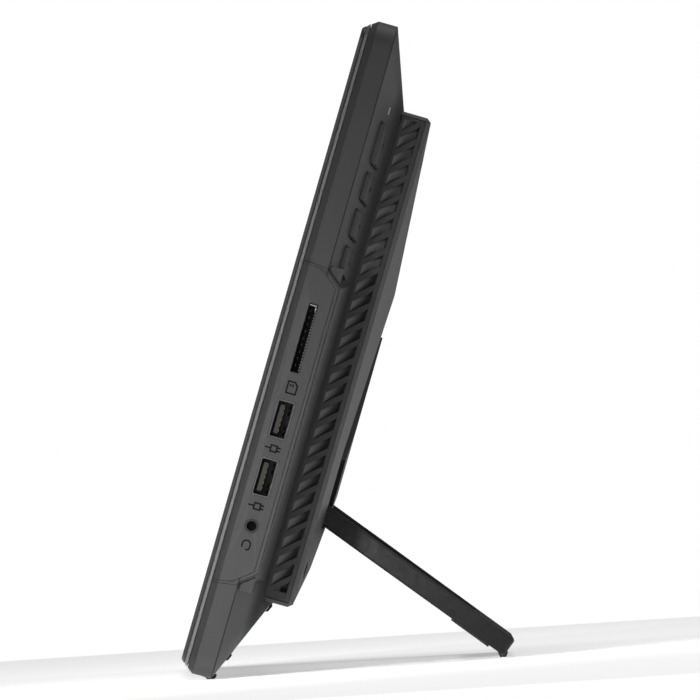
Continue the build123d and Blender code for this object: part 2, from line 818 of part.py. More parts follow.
with BuildPart() as stand_pads:
    with BuildSketch(opened.offset(-half_thick - 0.7)):
        with Locations(*pad_places):
            RectangleRounded(14, 16.3, 2)
    extrude(amount=1.5)
save(stand_pads, "stand_pads")

with BuildPart() as stand_edge_strip:
    with BuildSketch(side(-70)):
        Polygon(*strip_section, align=None)
    extrude(amount=140)
save(stand_edge_strip, "stand_edge_strip")


def hinge_bracket(sign):
    """Steel plate behind the pocket floor with the knuckle that carries the pin."""
    with BuildPart() as bracket:
        brick(mirrored((104, 137), sign), (pocket_floor - 3.6, pocket_floor - 2), (58, 79))
        with BuildSketch(side(sign * (knuckle_at - knuckle_half))):
            with Locations(pivot):
                Circle(3.2)
            with Locations(((pivot[0] + pocket_floor - 3) / 2, pivot[1])):
                Rectangle(pivot[0] - pocket_floor + 3, 6.4)
        extrude(amount=sign * 2 * knuckle_half)
        with BuildSketch(side(sign * 105)):
            with Locations(pivot):
                Circle(pin_radius)
        extrude(amount=sign * 30, mode=Mode.SUBTRACT)
        with BuildSketch(depth(20)):
            with Locations(*[place for place in hinge_screw_places if place[0] * sign > 0]):
                Circle(1.1)
        to_rear(10, mode=Mode.SUBTRACT)
    return bracket


def hinge_pin(sign):
    """Steel pin of one hinge."""
    with BuildPart() as pin:
        with BuildSketch(side(sign * 109.4)):
            with Locations(pivot):
                Circle(pin_radius)
        extrude(amount=sign * 19.9)
    return pin


for sign, hand in ((1, "right"), (-1, "left")):
    save(hinge_bracket(sign), f"hinge_bracket_{hand}")
    save(hinge_pin(sign), f"hinge_pin_{hand}")

with BuildPart() as base_feet:
    for sign in (1, -1):
        with BuildSketch(side(sign * 118.2)):
            Polygon(
                (9.6, 1.4), (9.6, 0.0), (11.0, floor_height(11.0)), (13.2, floor_height(13.2)),
                (13.7, 0.8), (13.7, 1.4), align=None,
            )
        extrude(amount=sign * 49.6)
save(base_feet, "base_feet")

# small pads on the lower slope
with BuildPart() as slope_pads:
    for sign in (1, -1):
        for low, high in ((6.6, 9.6), (27.3, 30.6)):
            with BuildSketch(side(sign * 70)):
                Polygon(
                    (12.7 + (low - 1) / 2.31, low),
                    (12.7 + (high - 1) / 2.31, high),
                    (13.3 + (high - 1.3) / 2.31, high - 0.8),
                    (13.3 + (low - 0.2) / 2.31, low + 0.4),
                    align=None,
                )
            extrude(amount=sign * 30)
    add(envelope.part, mode=Mode.SUBTRACT)
save(slope_pads, "slope_pads")


# ---------------------------------------------------------------- inside
board_back = board_front + board_thickness

with BuildPart() as main_board:
    brick((-124, 100), (board_front, board_back), (56, 190))
    with BuildSketch(depth(board_front)):
        with Locations(*board_screw_places):
            Circle(1.6)
    to_rear(board_thickness, mode=Mode.SUBTRACT)
    brick((50, 74), (board_back, board_back + 3.4), (142, 148))
    brick((6, 12), (board_back, board_back + 3.2), (66, 88))
    brick((-74, -46), (board_front - 0.6, board_front), (58, 64))
save(main_board, "main_board")

with BuildPart() as processor:
    brick((-38, -2), (board_back, board_back + 1.0), (102, 138))
    brick((-28, -12), (board_back + 1.0, board_back + 1.8), (110, 130))
save(processor, "processor")

spreader_front = board_back + 1.8
with BuildPart() as heat_spreader:
    brick((-52, 12), (spreader_front, spreader_front + 1.8), (96, 148))
    chamfer(heat_spreader.edges().filter_by(Axis.Y), 4)
save(heat_spreader, "heat_spreader")

pipe_front = spreader_front + 1.8
with BuildPart() as heat_pipe:
    brick((-44, 152), (pipe_front, pipe_front + 3.0), (116, 124))
    fillet(heat_pipe.edges().filter_by(Axis.X), 1.4)
save(heat_pipe, "heat_pipe")

with BuildPart() as heat_sink:
    brick((118, 158), (chassis_front + 0.8, chassis_front + 2.8), (84, 180))
    with BuildSketch(depth(chassis_front + 2.8)):
        with Locations((138, 132)):
            with GridLocations(4.1, 0, 10, 1):
                Rectangle(0.8, 94)
    to_rear(18.2)
    brick((110, 152), (pipe_front, pipe_front + 3.0), (116, 124), mode=Mode.SUBTRACT)
save(heat_sink, "heat_sink")

with BuildPart() as memory_socket:
    brick((-114, -44), (board_back, board_back + 4.0), (60, 66.5))
    brick((-114, -44), (board_back + 1.6, board_back + 2.8), (64.0, 67), mode=Mode.SUBTRACT)
save(memory_socket, "memory_socket")

with BuildPart() as memory_module:
    brick((-113.8, -44.2), (board_back + 1.6, board_back + 2.8), (64.0, 94))
    for x in (-104, -84, -64):
        brick((x - 5.5, x + 5.5), (board_back + 2.8, board_back + 3.9), (70, 82))
save(memory_module, "memory_module")

with BuildPart() as storage_module:
    brick((12, 92), (board_back + 1.6, board_back + 2.4), (66.2, 87.8))
    brick((24, 42), (board_back + 2.4, board_back + 3.6), (70, 84))
    brick((50, 68), (board_back + 2.4, board_back + 3.6), (70, 84))
save(storage_module, "storage_module")

with BuildPart() as wireless_card:
    brick((51, 73), (board_back + 1.4, board_back + 2.2), (148, 178))
    brick((53, 71), (board_back + 2.2, board_back + 3.8), (154, 172))
save(wireless_card, "wireless_card")

with BuildPart() as coin_cell:
    with BuildSketch(depth(board_back)):
        with Locations((-95, 165)):
            Circle(10)
    to_rear(3.2)
    chamfer(coin_cell.edges().group_by(Axis.Y)[-1], 0.5)
save(coin_cell, "coin_cell")

with BuildPart() as panel_cable:
    brick((-74, -46), (4.7, 8.4), (29.8, 30.2))
    brick((-74, -46), (8.0, 8.4), (30.2, 64))
save(panel_cable, "panel_cable")


def speaker(sign):
    """Closed speaker box with its cone facing down and back."""
    with BuildPart() as box:
        brick(mirrored((94, 146), sign), (chassis_front + 2.4, 22), (37, 52))
        chamfer(box.edges().filter_by(Axis.X), 1.5)
        with BuildSketch(depth(22)):
            with Locations((sign * 120, 44.5)):
                SlotOverall(34, 10)
                SlotOverall(28, 6, mode=Mode.SUBTRACT)
        extrude(amount=1.2, mode=Mode.SUBTRACT)
    return box


for sign, hand in ((1, "right"), (-1, "left")):
    save(speaker(sign), f"speaker_{hand}")

with BuildPart() as antennas:
    for sign in (1, -1):
        brick(mirrored((100, 140), sign), (chassis_front + 0.8, chassis_front + 1.6), (211, 221))
        brick(mirrored((104, 136), sign), (chassis_front + 1.6, chassis_front + 2.2), (213, 219))
save(antennas, "antennas")

with BuildPart() as mount_inserts:
    with BuildSketch(depth(mount_face)):
        with Locations((0, mount_centre)):
            with GridLocations(2 * mount_half, 2 * mount_half, 2, 2):
                Circle(insert_radius)
    to_rear(-7.8)
    with BuildSketch(depth(mount_face)):
        with Locations((0, mount_centre)):
            with GridLocations(2 * mount_half, 2 * mount_half, 2, 2):
                Circle(insert_bore)
    to_rear(-7.0, mode=Mode.SUBTRACT)
save(mount_inserts, "mount_inserts")


def pan_screws(places, head_front, head_radius, head_height, shank_radius, shank_length, toward_user=True):
    """Group of pan head screws; the shanks point at the user, or away."""
    step = 1 if toward_user else -1
    with BuildPart() as group:
        with BuildSketch(depth(head_front)):
            with Locations(*places):
                Circle(head_radius)
        to_rear(step * head_height)
        chamfer(group.edges().group_by(Axis.Y)[-1 if toward_user else 0], head_height * 0.25)
        with BuildSketch(depth(head_front + step * head_height * 0.5)):
            with Locations(*places):
                RegularPolygon(head_radius * 0.5, 6)
        to_rear(step * head_height, mode=Mode.SUBTRACT)
        with BuildSketch(depth(head_front)):
            with Locations(*places):
                Circle(shank_radius)
        to_rear(-step * shank_length)
    return group


save(pan_screws(cover_screw_places, 31.2, 2.9, 1.5, 1.5, 13.0), "back_cover_screws")
with BuildPart() as inside_screws:
    add(pan_screws(board_screw_places, board_back, 2.4, 1.3, 1.2, 4.0).part)
    add(pan_screws(hinge_screw_places, pocket_floor - 3.6, 1.9, 1.2, 1.0, 3.0, False).part)
    add(pan_screws(chassis_screw_places, chassis_front, 2.1, 0.25, 1.2, 6.0, False).part)
save(inside_screws, "inside_screws")


# ---------------------------------------------------------------- lean the machine back and write it
tipped = [piece.moved(Location((0, 0, 0), (-lean, 0, 0))) for piece in pieces]
bounds = Compound(children=tipped).bounding_box()
placement = Location((0, -(bounds.min.Y + bounds.max.Y) / 2, -bounds.min.Z), (-lean, 0, 0))
print("moved by", placement.position, "overall size", bounds.size)

os.makedirs("parts", exist_ok=True)
for piece in pieces:
    piece.move(placement)
    export_step(piece, f"parts/{piece.label}.step")
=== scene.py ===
import json
import math

import bmesh
import bpy
from mathutils import Matrix, Vector


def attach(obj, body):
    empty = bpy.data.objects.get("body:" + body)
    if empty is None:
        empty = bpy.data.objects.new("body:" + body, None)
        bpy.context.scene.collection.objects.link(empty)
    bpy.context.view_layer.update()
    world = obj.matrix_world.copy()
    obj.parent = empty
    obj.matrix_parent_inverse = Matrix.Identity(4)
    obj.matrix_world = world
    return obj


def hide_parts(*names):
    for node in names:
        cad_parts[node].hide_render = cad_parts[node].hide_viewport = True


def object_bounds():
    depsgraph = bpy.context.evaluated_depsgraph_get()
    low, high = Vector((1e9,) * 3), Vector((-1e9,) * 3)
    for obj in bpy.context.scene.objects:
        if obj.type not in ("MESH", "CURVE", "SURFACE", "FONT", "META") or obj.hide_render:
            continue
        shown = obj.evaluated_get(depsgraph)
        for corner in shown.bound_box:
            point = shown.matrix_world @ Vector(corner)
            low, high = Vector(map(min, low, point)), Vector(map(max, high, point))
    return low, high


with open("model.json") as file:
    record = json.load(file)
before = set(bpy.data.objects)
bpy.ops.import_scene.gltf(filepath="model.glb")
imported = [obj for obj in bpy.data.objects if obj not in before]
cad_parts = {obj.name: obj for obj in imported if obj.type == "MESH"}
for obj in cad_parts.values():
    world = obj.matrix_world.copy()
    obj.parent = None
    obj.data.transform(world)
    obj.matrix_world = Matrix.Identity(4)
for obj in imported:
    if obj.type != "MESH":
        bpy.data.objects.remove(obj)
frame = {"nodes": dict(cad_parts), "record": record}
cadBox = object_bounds()
record = frame["record"]
mm = 0.001
print("frame loaded:", len(frame["nodes"]), "nodes")

# the machine's own axes: right, back (square to the screen) and up the screen
mounts = {m["name"]: m for m in record["mounts"]}
back = Vector(mounts["display_mount"]["axis"]).normalized()
right = Vector((1, 0, 0))
up = right.cross(back).normalized()
mountAt = {"deep": 36.0, "high": 125.3}  # where the display mount sits on those axes, mm
corner = Vector(mounts["display_mount"]["pos_m"]) - back * mountAt["deep"] * mm - up * mountAt["high"] * mm


def place(x, deep, high):
    return corner + right * x * mm + back * deep * mm + up * high * mm


turnUpright = Matrix((right, back, up)).transposed().to_4x4()
toRow = Matrix.Translation(corner) @ turnUpright @ Matrix.Scale(mm, 4)  # upright millimetres to the row frame


# camera: a long lens from the right, rolled a little
cameraSet = {"distance": 10.0, "widthMm": 247.1, "aim": (0.0, 27.4, 125.3), "roll": 3.7, "sensor": 36.0}


def makeCamera(s):
    data = bpy.data.cameras.new("sideCamera")
    data.sensor_width = s["sensor"]
    nearSide = s["distance"] - cadBox[1][0]  # the width is measured across the near side of the housing
    data.lens = s["sensor"] * nearSide / (s["widthMm"] * mm)
    data.clip_start, data.clip_end = 0.05, 60
    cam = bpy.data.objects.new("sideCamera", data)
    bpy.context.scene.collection.objects.link(cam)
    aim = place(*s["aim"])
    facing = Matrix(((0, 0, 1), (1, 0, 0), (0, 1, 0))).to_4x4()  # looks along -X, with Z up
    cam.matrix_world = (
        Matrix.Translation(aim + Vector((s["distance"], 0, 0)))
        @ facing
        @ Matrix.Rotation(math.radians(-s["roll"]), 4, "Z")
    )
    bpy.context.scene.camera = cam


makeCamera(cameraSet)
bpy.context.scene.view_settings.view_transform = "Standard"
print("camera ready")


# studio: a pale floor, soft boxes and a pale world
studioSet = {"floorHalf": 0.9, "white": 0.8, "rough": 0.85, "lift": 0.42, "worldSeen": 1.0,
             "worldLight": 0.22}


def makeStudio(s):
    mesh = bpy.data.meshes.new("studioFloor")
    bm = bmesh.new()
    bmesh.ops.create_circle(bm, cap_ends=True, radius=s["floorHalf"], segments=96)
    bm.to_mesh(mesh)
    bm.free()
    floor = bpy.data.objects.new("studioFloor", mesh)
    bpy.context.scene.collection.objects.link(floor)
    mat = bpy.data.materials.new("studioWhite")
    mat.use_nodes = True
    bsdf = mat.node_tree.nodes["Principled BSDF"]
    bsdf.inputs["Base Color"].default_value = (s["white"], s["white"], s["white"], 1)
    bsdf.inputs["Roughness"].default_value = s["rough"]
    bsdf.inputs["Emission Color"].default_value = (1, 1, 1, 1)
    bsdf.inputs["Emission Strength"].default_value = s["lift"]
    mesh.materials.append(mat)


def softBox(name, spot, aim, size, watts, beamDeg=180, glossy=True):
    data = bpy.data.lights.new(name, "AREA")
    data.shape = "RECTANGLE"
    data.size, data.size_y = size
    data.energy = watts
    data.spread = math.radians(beamDeg)
    lamp = bpy.data.objects.new(name, data)
    lamp.location = spot
    lamp.rotation_euler = (Vector(aim) - Vector(spot)).to_track_quat("-Z", "Y").to_euler()
    lamp.visible_camera = False
    lamp.visible_glossy = glossy
    bpy.context.scene.collection.objects.link(lamp)


def makeWorld(seen, light):
    world = bpy.data.worlds.new("studioWorld")
    world.use_nodes = True
    tree = world.node_tree
    ground = tree.nodes["Background"]
    ground.inputs["Color"].default_value = (1, 1, 1, 1)
    rays = tree.nodes.new("ShaderNodeLightPath")
    level = tree.nodes.new("ShaderNodeMapRange")
    level.inputs["To Min"].default_value, level.inputs["To Max"].default_value = light, seen
    tree.links.new(rays.outputs["Is Camera Ray"], level.inputs["Value"])
    tree.links.new(level.outputs["Result"], ground.inputs["Strength"])
    bpy.context.scene.world = world


lampSet = {
    "topBox": {"spot": (0.1, 0.15, 1.7), "aim": (0, 0, 0.1), "size": (1.4, 1.4), "watts": 10},
    "sideBox": {"spot": (1.9, -0.35, 0.35), "aim": (0.19, 0.0, 0.1), "size": (0.7, 0.7), "watts": 2.4},
    "lowBox": {"spot": (1.2, -0.5, 0.22), "aim": (0.19, -0.06, 0.03), "size": (0.16, 0.16), "watts": 0.6,
               "beamDeg": 22, "glossy": False},
    "backBox": {"spot": (0.6, 1.5, 0.7), "aim": (0.1, 0.05, 0.12), "size": (0.8, 0.9), "watts": 6.5},
    "frontBox": {"spot": (0.4, -1.6, 0.7), "aim": (0.1, 0, 0.12), "size": (0.9, 0.9), "watts": 4},
}
makeStudio(studioSet)
makeWorld(studioSet["worldSeen"], studioSet["worldLight"])
for name, values in lampSet.items():
    softBox(name, **values)
print("studio ready")


# shader node groups shared by the finishes
def newGroup(name, sockets):
    tree = bpy.data.node_groups.new(name, "ShaderNodeTree")
    for label, inOut, kind, value in sockets:
        sock = tree.interface.new_socket(name=label, in_out=inOut, socket_type="NodeSocket" + kind)
        if inOut == "INPUT" and value is not None:
            sock.default_value = value
    return tree, tree.nodes.new("NodeGroupInput"), tree.nodes.new("NodeGroupOutput")


def wire(tree, *pairs):
    for a, b in pairs:
        tree.links.new(a, b)


def mathNode(tree, operation, a, b, clamp=False):
    node = tree.nodes.new("ShaderNodeMath")
    node.operation = operation
    node.use_clamp = clamp
    for k, value in enumerate((a, b)):
        if hasattr(value, "is_linked"):
            tree.links.new(value, node.inputs[k])
        else:
            node.inputs[k].default_value = value
    return node.outputs[0]


def noiseNode(tree, coords, scale, detail=2.0, rough=0.5):
    node = tree.nodes.new("ShaderNodeTexNoise")
    tree.links.new(coords, node.inputs["Vector"])
    if hasattr(scale, "is_linked"):
        tree.links.new(scale, node.inputs["Scale"])
    else:
        node.inputs["Scale"].default_value = scale
    node.inputs["Detail"].default_value = detail
    node.inputs["Roughness"].default_value = rough
    return node.outputs["Fac"]


def makeGrainGroup():
    # moulded texture: fine pits over a slower unevenness
    tree, inp, out = newGroup("mouldedGrain", [
        ("Grain Size", "INPUT", "Float", 2600.0), ("Pits", "INPUT", "Float", 0.6),
        ("Flow", "INPUT", "Float", 0.25),
        ("Height", "OUTPUT", "Float", None), ("Mottle", "OUTPUT", "Float", None),
    ])
    coords = tree.nodes.new("ShaderNodeTexCoord").outputs["Object"]
    fine = noiseNode(tree, coords, inp.outputs["Grain Size"], 2.0, 0.6)
    pits = tree.nodes.new("ShaderNodeTexVoronoi")
    wire(tree, (coords, pits.inputs["Vector"]), (inp.outputs["Grain Size"], pits.inputs["Scale"]))
    slow = noiseNode(tree, coords, 38.0, 3.0)
    sharp = mathNode(tree, "MULTIPLY", pits.outputs["Distance"], inp.outputs["Pits"])
    both = mathNode(tree, "ADD", fine, sharp)
    flow = mathNode(tree, "MULTIPLY", slow, inp.outputs["Flow"])
    wire(tree, (mathNode(tree, "ADD", both, flow), out.inputs["Height"]))
    mid = noiseNode(tree, coords, 260.0, 4.0, 0.7)
    wire(tree, (mathNode(tree, "MULTIPLY", mathNode(tree, "ADD", mid, slow), 0.5), out.inputs["Mottle"]))
    return tree


def makeWearGroup():
    # corners polished by handling, broken up by noise
    tree, inp, out = newGroup("edgeWear", [
        ("Amount", "INPUT", "Float", 0.4), ("Break Up", "INPUT", "Float", 300.0),
        ("Mask", "OUTPUT", "Float", None),
    ])
    geo = tree.nodes.new("ShaderNodeNewGeometry")
    coords = tree.nodes.new("ShaderNodeTexCoord").outputs["Object"]
    ramp = tree.nodes.new("ShaderNodeMapRange")
    ramp.inputs["From Min"].default_value, ramp.inputs["From Max"].default_value = 0.52, 0.62
    wire(tree, (geo.outputs["Pointiness"], ramp.inputs["Value"]))
    broken = noiseNode(tree, coords, inp.outputs["Break Up"], 3.0, 0.65)
    edge = mathNode(tree, "MULTIPLY", ramp.outputs["Result"], broken)
    wire(tree, (mathNode(tree, "MULTIPLY", edge, inp.outputs["Amount"], True), out.inputs["Mask"]))
    return tree


def makeDustGroup():
    # a faint film that settles on faces turned upwards
    tree, inp, out = newGroup("settledDust", [
        ("Amount", "INPUT", "Float", 0.25), ("Mask", "OUTPUT", "Float", None),
    ])
    geo = tree.nodes.new("ShaderNodeNewGeometry")
    split = tree.nodes.new("ShaderNodeSeparateXYZ")
    wire(tree, (geo.outputs["Normal"], split.inputs["Vector"]))
    coords = tree.nodes.new("ShaderNodeTexCoord").outputs["Object"]
    upward = mathNode(tree, "MAXIMUM", split.outputs["Z"], 0.0)
    cloud = noiseNode(tree, coords, 55.0, 5.0, 0.7)
    film = mathNode(tree, "MULTIPLY", mathNode(tree, "POWER", upward, 2.0), cloud)
    wire(tree, (mathNode(tree, "MULTIPLY", film, inp.outputs["Amount"], True), out.inputs["Mask"]))
    return tree


def makePaintedShadeGroup():
    # painted shade: a fine dark line at one depth standing in for the shadow in a crease, soft painted shade
    # in the corner where the raised back begins, a painted shade band on the front facets and painted shade
    # on faces turned sideways
    tree, inp, out = newGroup("seamShade", [
        ("Line At", "INPUT", "Float", 12.25), ("Line Half", "INPUT", "Float", 0.22),
        ("Corner From", "INPUT", "Float", 18.4),
        ("Corner To", "INPUT", "Float", 22.0), ("Corner Amount", "INPUT", "Float", 0.0),
        ("Front To", "INPUT", "Float", 5.3), ("Front Amount", "INPUT", "Float", 0.0),
        ("Side Amount", "INPUT", "Float", 0.0),
        ("Mask", "OUTPUT", "Float", None),
    ])
    coords = tree.nodes.new("ShaderNodeTexCoord").outputs["Object"]
    along = tree.nodes.new("ShaderNodeVectorMath")
    along.operation = "DOT_PRODUCT"
    tree.links.new(coords, along.inputs[0])
    along.inputs[1].default_value = back / mm
    deep = mathNode(tree, "SUBTRACT", along.outputs["Value"], corner.dot(back) / mm)
    away = mathNode(tree, "ABSOLUTE", mathNode(tree, "SUBTRACT", deep, inp.outputs["Line At"]), 0.0)
    line = mathNode(tree, "LESS_THAN", away, inp.outputs["Line Half"])
    shade = tree.nodes.new("ShaderNodeMapRange")
    shade.interpolation_type = "SMOOTHSTEP"
    wire(tree, (deep, shade.inputs["Value"]), (inp.outputs["Corner From"], shade.inputs["From Min"]),
         (inp.outputs["Corner To"], shade.inputs["From Max"]))
    dark = mathNode(tree, "MULTIPLY", shade.outputs["Result"], inp.outputs["Corner Amount"])
    front = mathNode(tree, "MULTIPLY", mathNode(tree, "LESS_THAN", deep, inp.outputs["Front To"]),
                     inp.outputs["Front Amount"])
    dark = mathNode(tree, "MAXIMUM", dark, front)
    facing = tree.nodes.new("ShaderNodeSeparateXYZ")
    wire(tree, (tree.nodes.new("ShaderNodeNewGeometry").outputs["True Normal"], facing.inputs["Vector"]))
    sideways = mathNode(tree, "GREATER_THAN", mathNode(tree, "ABSOLUTE", facing.outputs["X"], 0.0), 0.9)
    dark = mathNode(tree, "MAXIMUM", dark, mathNode(tree, "MULTIPLY", sideways, inp.outputs["Side Amount"]))
    wire(tree, (mathNode(tree, "MAXIMUM", mathNode(tree, "MULTIPLY", line, 0.85), dark), out.inputs["Mask"]))
    return tree


paneSet = {"activeHalf": 172.1, "activeLow": 24.6, "activeHigh": 218.2, "lensHigh": 229.4, "lensWindow": 2.4}


def makePaneGroup():
    # the lit area behind the glass, and the clear window over the webcam
    s = paneSet
    tree, _, out = newGroup("paneAreas", [("Active", "OUTPUT", "Float", None),
                                          ("Window", "OUTPUT", "Float", None)])
    coords = tree.nodes.new("ShaderNodeTexCoord").outputs["Object"]
    climb = tree.nodes.new("ShaderNodeVectorMath")
    climb.operation = "DOT_PRODUCT"
    climb.inputs[1].default_value = up / mm
    split = tree.nodes.new("ShaderNodeSeparateXYZ")
    wire(tree, (coords, climb.inputs[0]), (coords, split.inputs["Vector"]))
    high = mathNode(tree, "SUBTRACT", climb.outputs["Value"], corner.dot(up) / mm)
    aside = mathNode(tree, "MULTIPLY", mathNode(tree, "ABSOLUTE", split.outputs["X"], 0.0), 1 / mm)
    middle, half = (s["activeLow"] + s["activeHigh"]) / 2, (s["activeHigh"] - s["activeLow"]) / 2
    offMiddle = mathNode(tree, "ABSOLUTE", mathNode(tree, "SUBTRACT", high, middle), 0.0)
    tallIn = mathNode(tree, "LESS_THAN", offMiddle, half)
    wideIn = mathNode(tree, "LESS_THAN", aside, s["activeHalf"])
    off = mathNode(tree, "SUBTRACT", high, s["lensHigh"])
    span = mathNode(tree, "ADD", mathNode(tree, "POWER", off, 2.0), mathNode(tree, "POWER", aside, 2.0))
    wire(tree, (mathNode(tree, "MULTIPLY", tallIn, wideIn), out.inputs["Active"]),
         (mathNode(tree, "LESS_THAN", span, s["lensWindow"] ** 2), out.inputs["Window"]))
    return tree


grainGroup, wearGroup, dustGroup = makeGrainGroup(), makeWearGroup(), makeDustGroup()
paintedShadeGroup, paneGroup = makePaintedShadeGroup(), makePaneGroup()


def useGroup(tree, group, **values):
    node = tree.nodes.new("ShaderNodeGroup")
    node.node_tree = group
    for label, value in values.items():
        node.inputs[label.replace("_", " ")].default_value = value
    return node


def mixColour(tree, factor, a, b):
    node = tree.nodes.new("ShaderNodeMix")
    node.data_type = "RGBA"
    tree.links.new(factor, node.inputs["Factor"])
    for key, value in (("A", a), ("B", b)):
        sock = [i for i in node.inputs if i.name == key and i.type == "RGBA"][0]
        if hasattr(value, "is_linked"):
            tree.links.new(value, sock)
        else:
            sock.default_value = (*value, 1)
    return [o for o in node.outputs if o.type == "RGBA"][0]


def rangeNode(tree, value, low, high):
    node = tree.nodes.new("ShaderNodeMapRange")
    tree.links.new(value, node.inputs["Value"])
    node.inputs["To Min"].default_value, node.inputs["To Max"].default_value = low, high
    return node.outputs["Result"]


# colours laid over the finishes: settled dust, the painted shade colour, the display's active area and the
# webcam window
dustAndShadeSet = {"dust": (0.16, 0.155, 0.15), "shade": (0.0015, 0.0015, 0.0015), "shadeRough": 0.4,
           "active": (0.0095, 0.0095, 0.0105), "window": (0.03, 0.024, 0.036)}


def plastic(name, dark, light, rough, grain=2600.0, depthMm=0.012, wear=0.5, dust=0.2,
            specular=0.5, coat=0.0, metal=0.0, worn=None, paintedShade=None, pane=False):
    mat = bpy.data.materials.new(name)
    mat.use_nodes = True
    tree = mat.node_tree
    bsdf = tree.nodes["Principled BSDF"]
    texture = useGroup(tree, grainGroup, Grain_Size=grain)
    edge = useGroup(tree, wearGroup, Amount=wear)
    film = useGroup(tree, dustGroup, Amount=dust)
    base = mixColour(tree, texture.outputs["Mottle"], dark, light)
    worn = worn or tuple(min(1.0, c * 2.2 + 0.01) for c in light)
    base = mixColour(tree, edge.outputs["Mask"], base, worn)
    base = mixColour(tree, film.outputs["Mask"], base, dustAndShadeSet["dust"])
    roughness = rangeNode(tree, texture.outputs["Mottle"], *rough)
    if pane:
        areas = useGroup(tree, paneGroup)
        base = mixColour(tree, areas.outputs["Active"], base, dustAndShadeSet["active"])
        base = mixColour(tree, areas.outputs["Window"], base, dustAndShadeSet["window"])
    # painted shade: the shade mask darkens the base colour towards near-black and roughens it
    if paintedShade is not None:
        shade = useGroup(tree, paintedShadeGroup, **paintedShade)
        base = mixColour(tree, shade.outputs["Mask"], base, dustAndShadeSet["shade"])
        extra = mathNode(tree, "MULTIPLY", shade.outputs["Mask"], dustAndShadeSet["shadeRough"])
        roughness = mathNode(tree, "ADD", roughness, extra, True)
    wire(tree, (base, bsdf.inputs["Base Color"]), (roughness, bsdf.inputs["Roughness"]))
    if depthMm:
        bump = tree.nodes.new("ShaderNodeBump")
        bump.inputs["Strength"].default_value = 1.0
        bump.inputs["Distance"].default_value = depthMm * mm
        wire(tree, (texture.outputs["Height"], bump.inputs["Height"]),
             (bump.outputs["Normal"], bsdf.inputs["Normal"]))
    bsdf.inputs["Specular IOR Level"].default_value = specular
    bsdf.inputs["Coat Weight"].default_value = coat
    bsdf.inputs["Metallic"].default_value = metal
    return mat


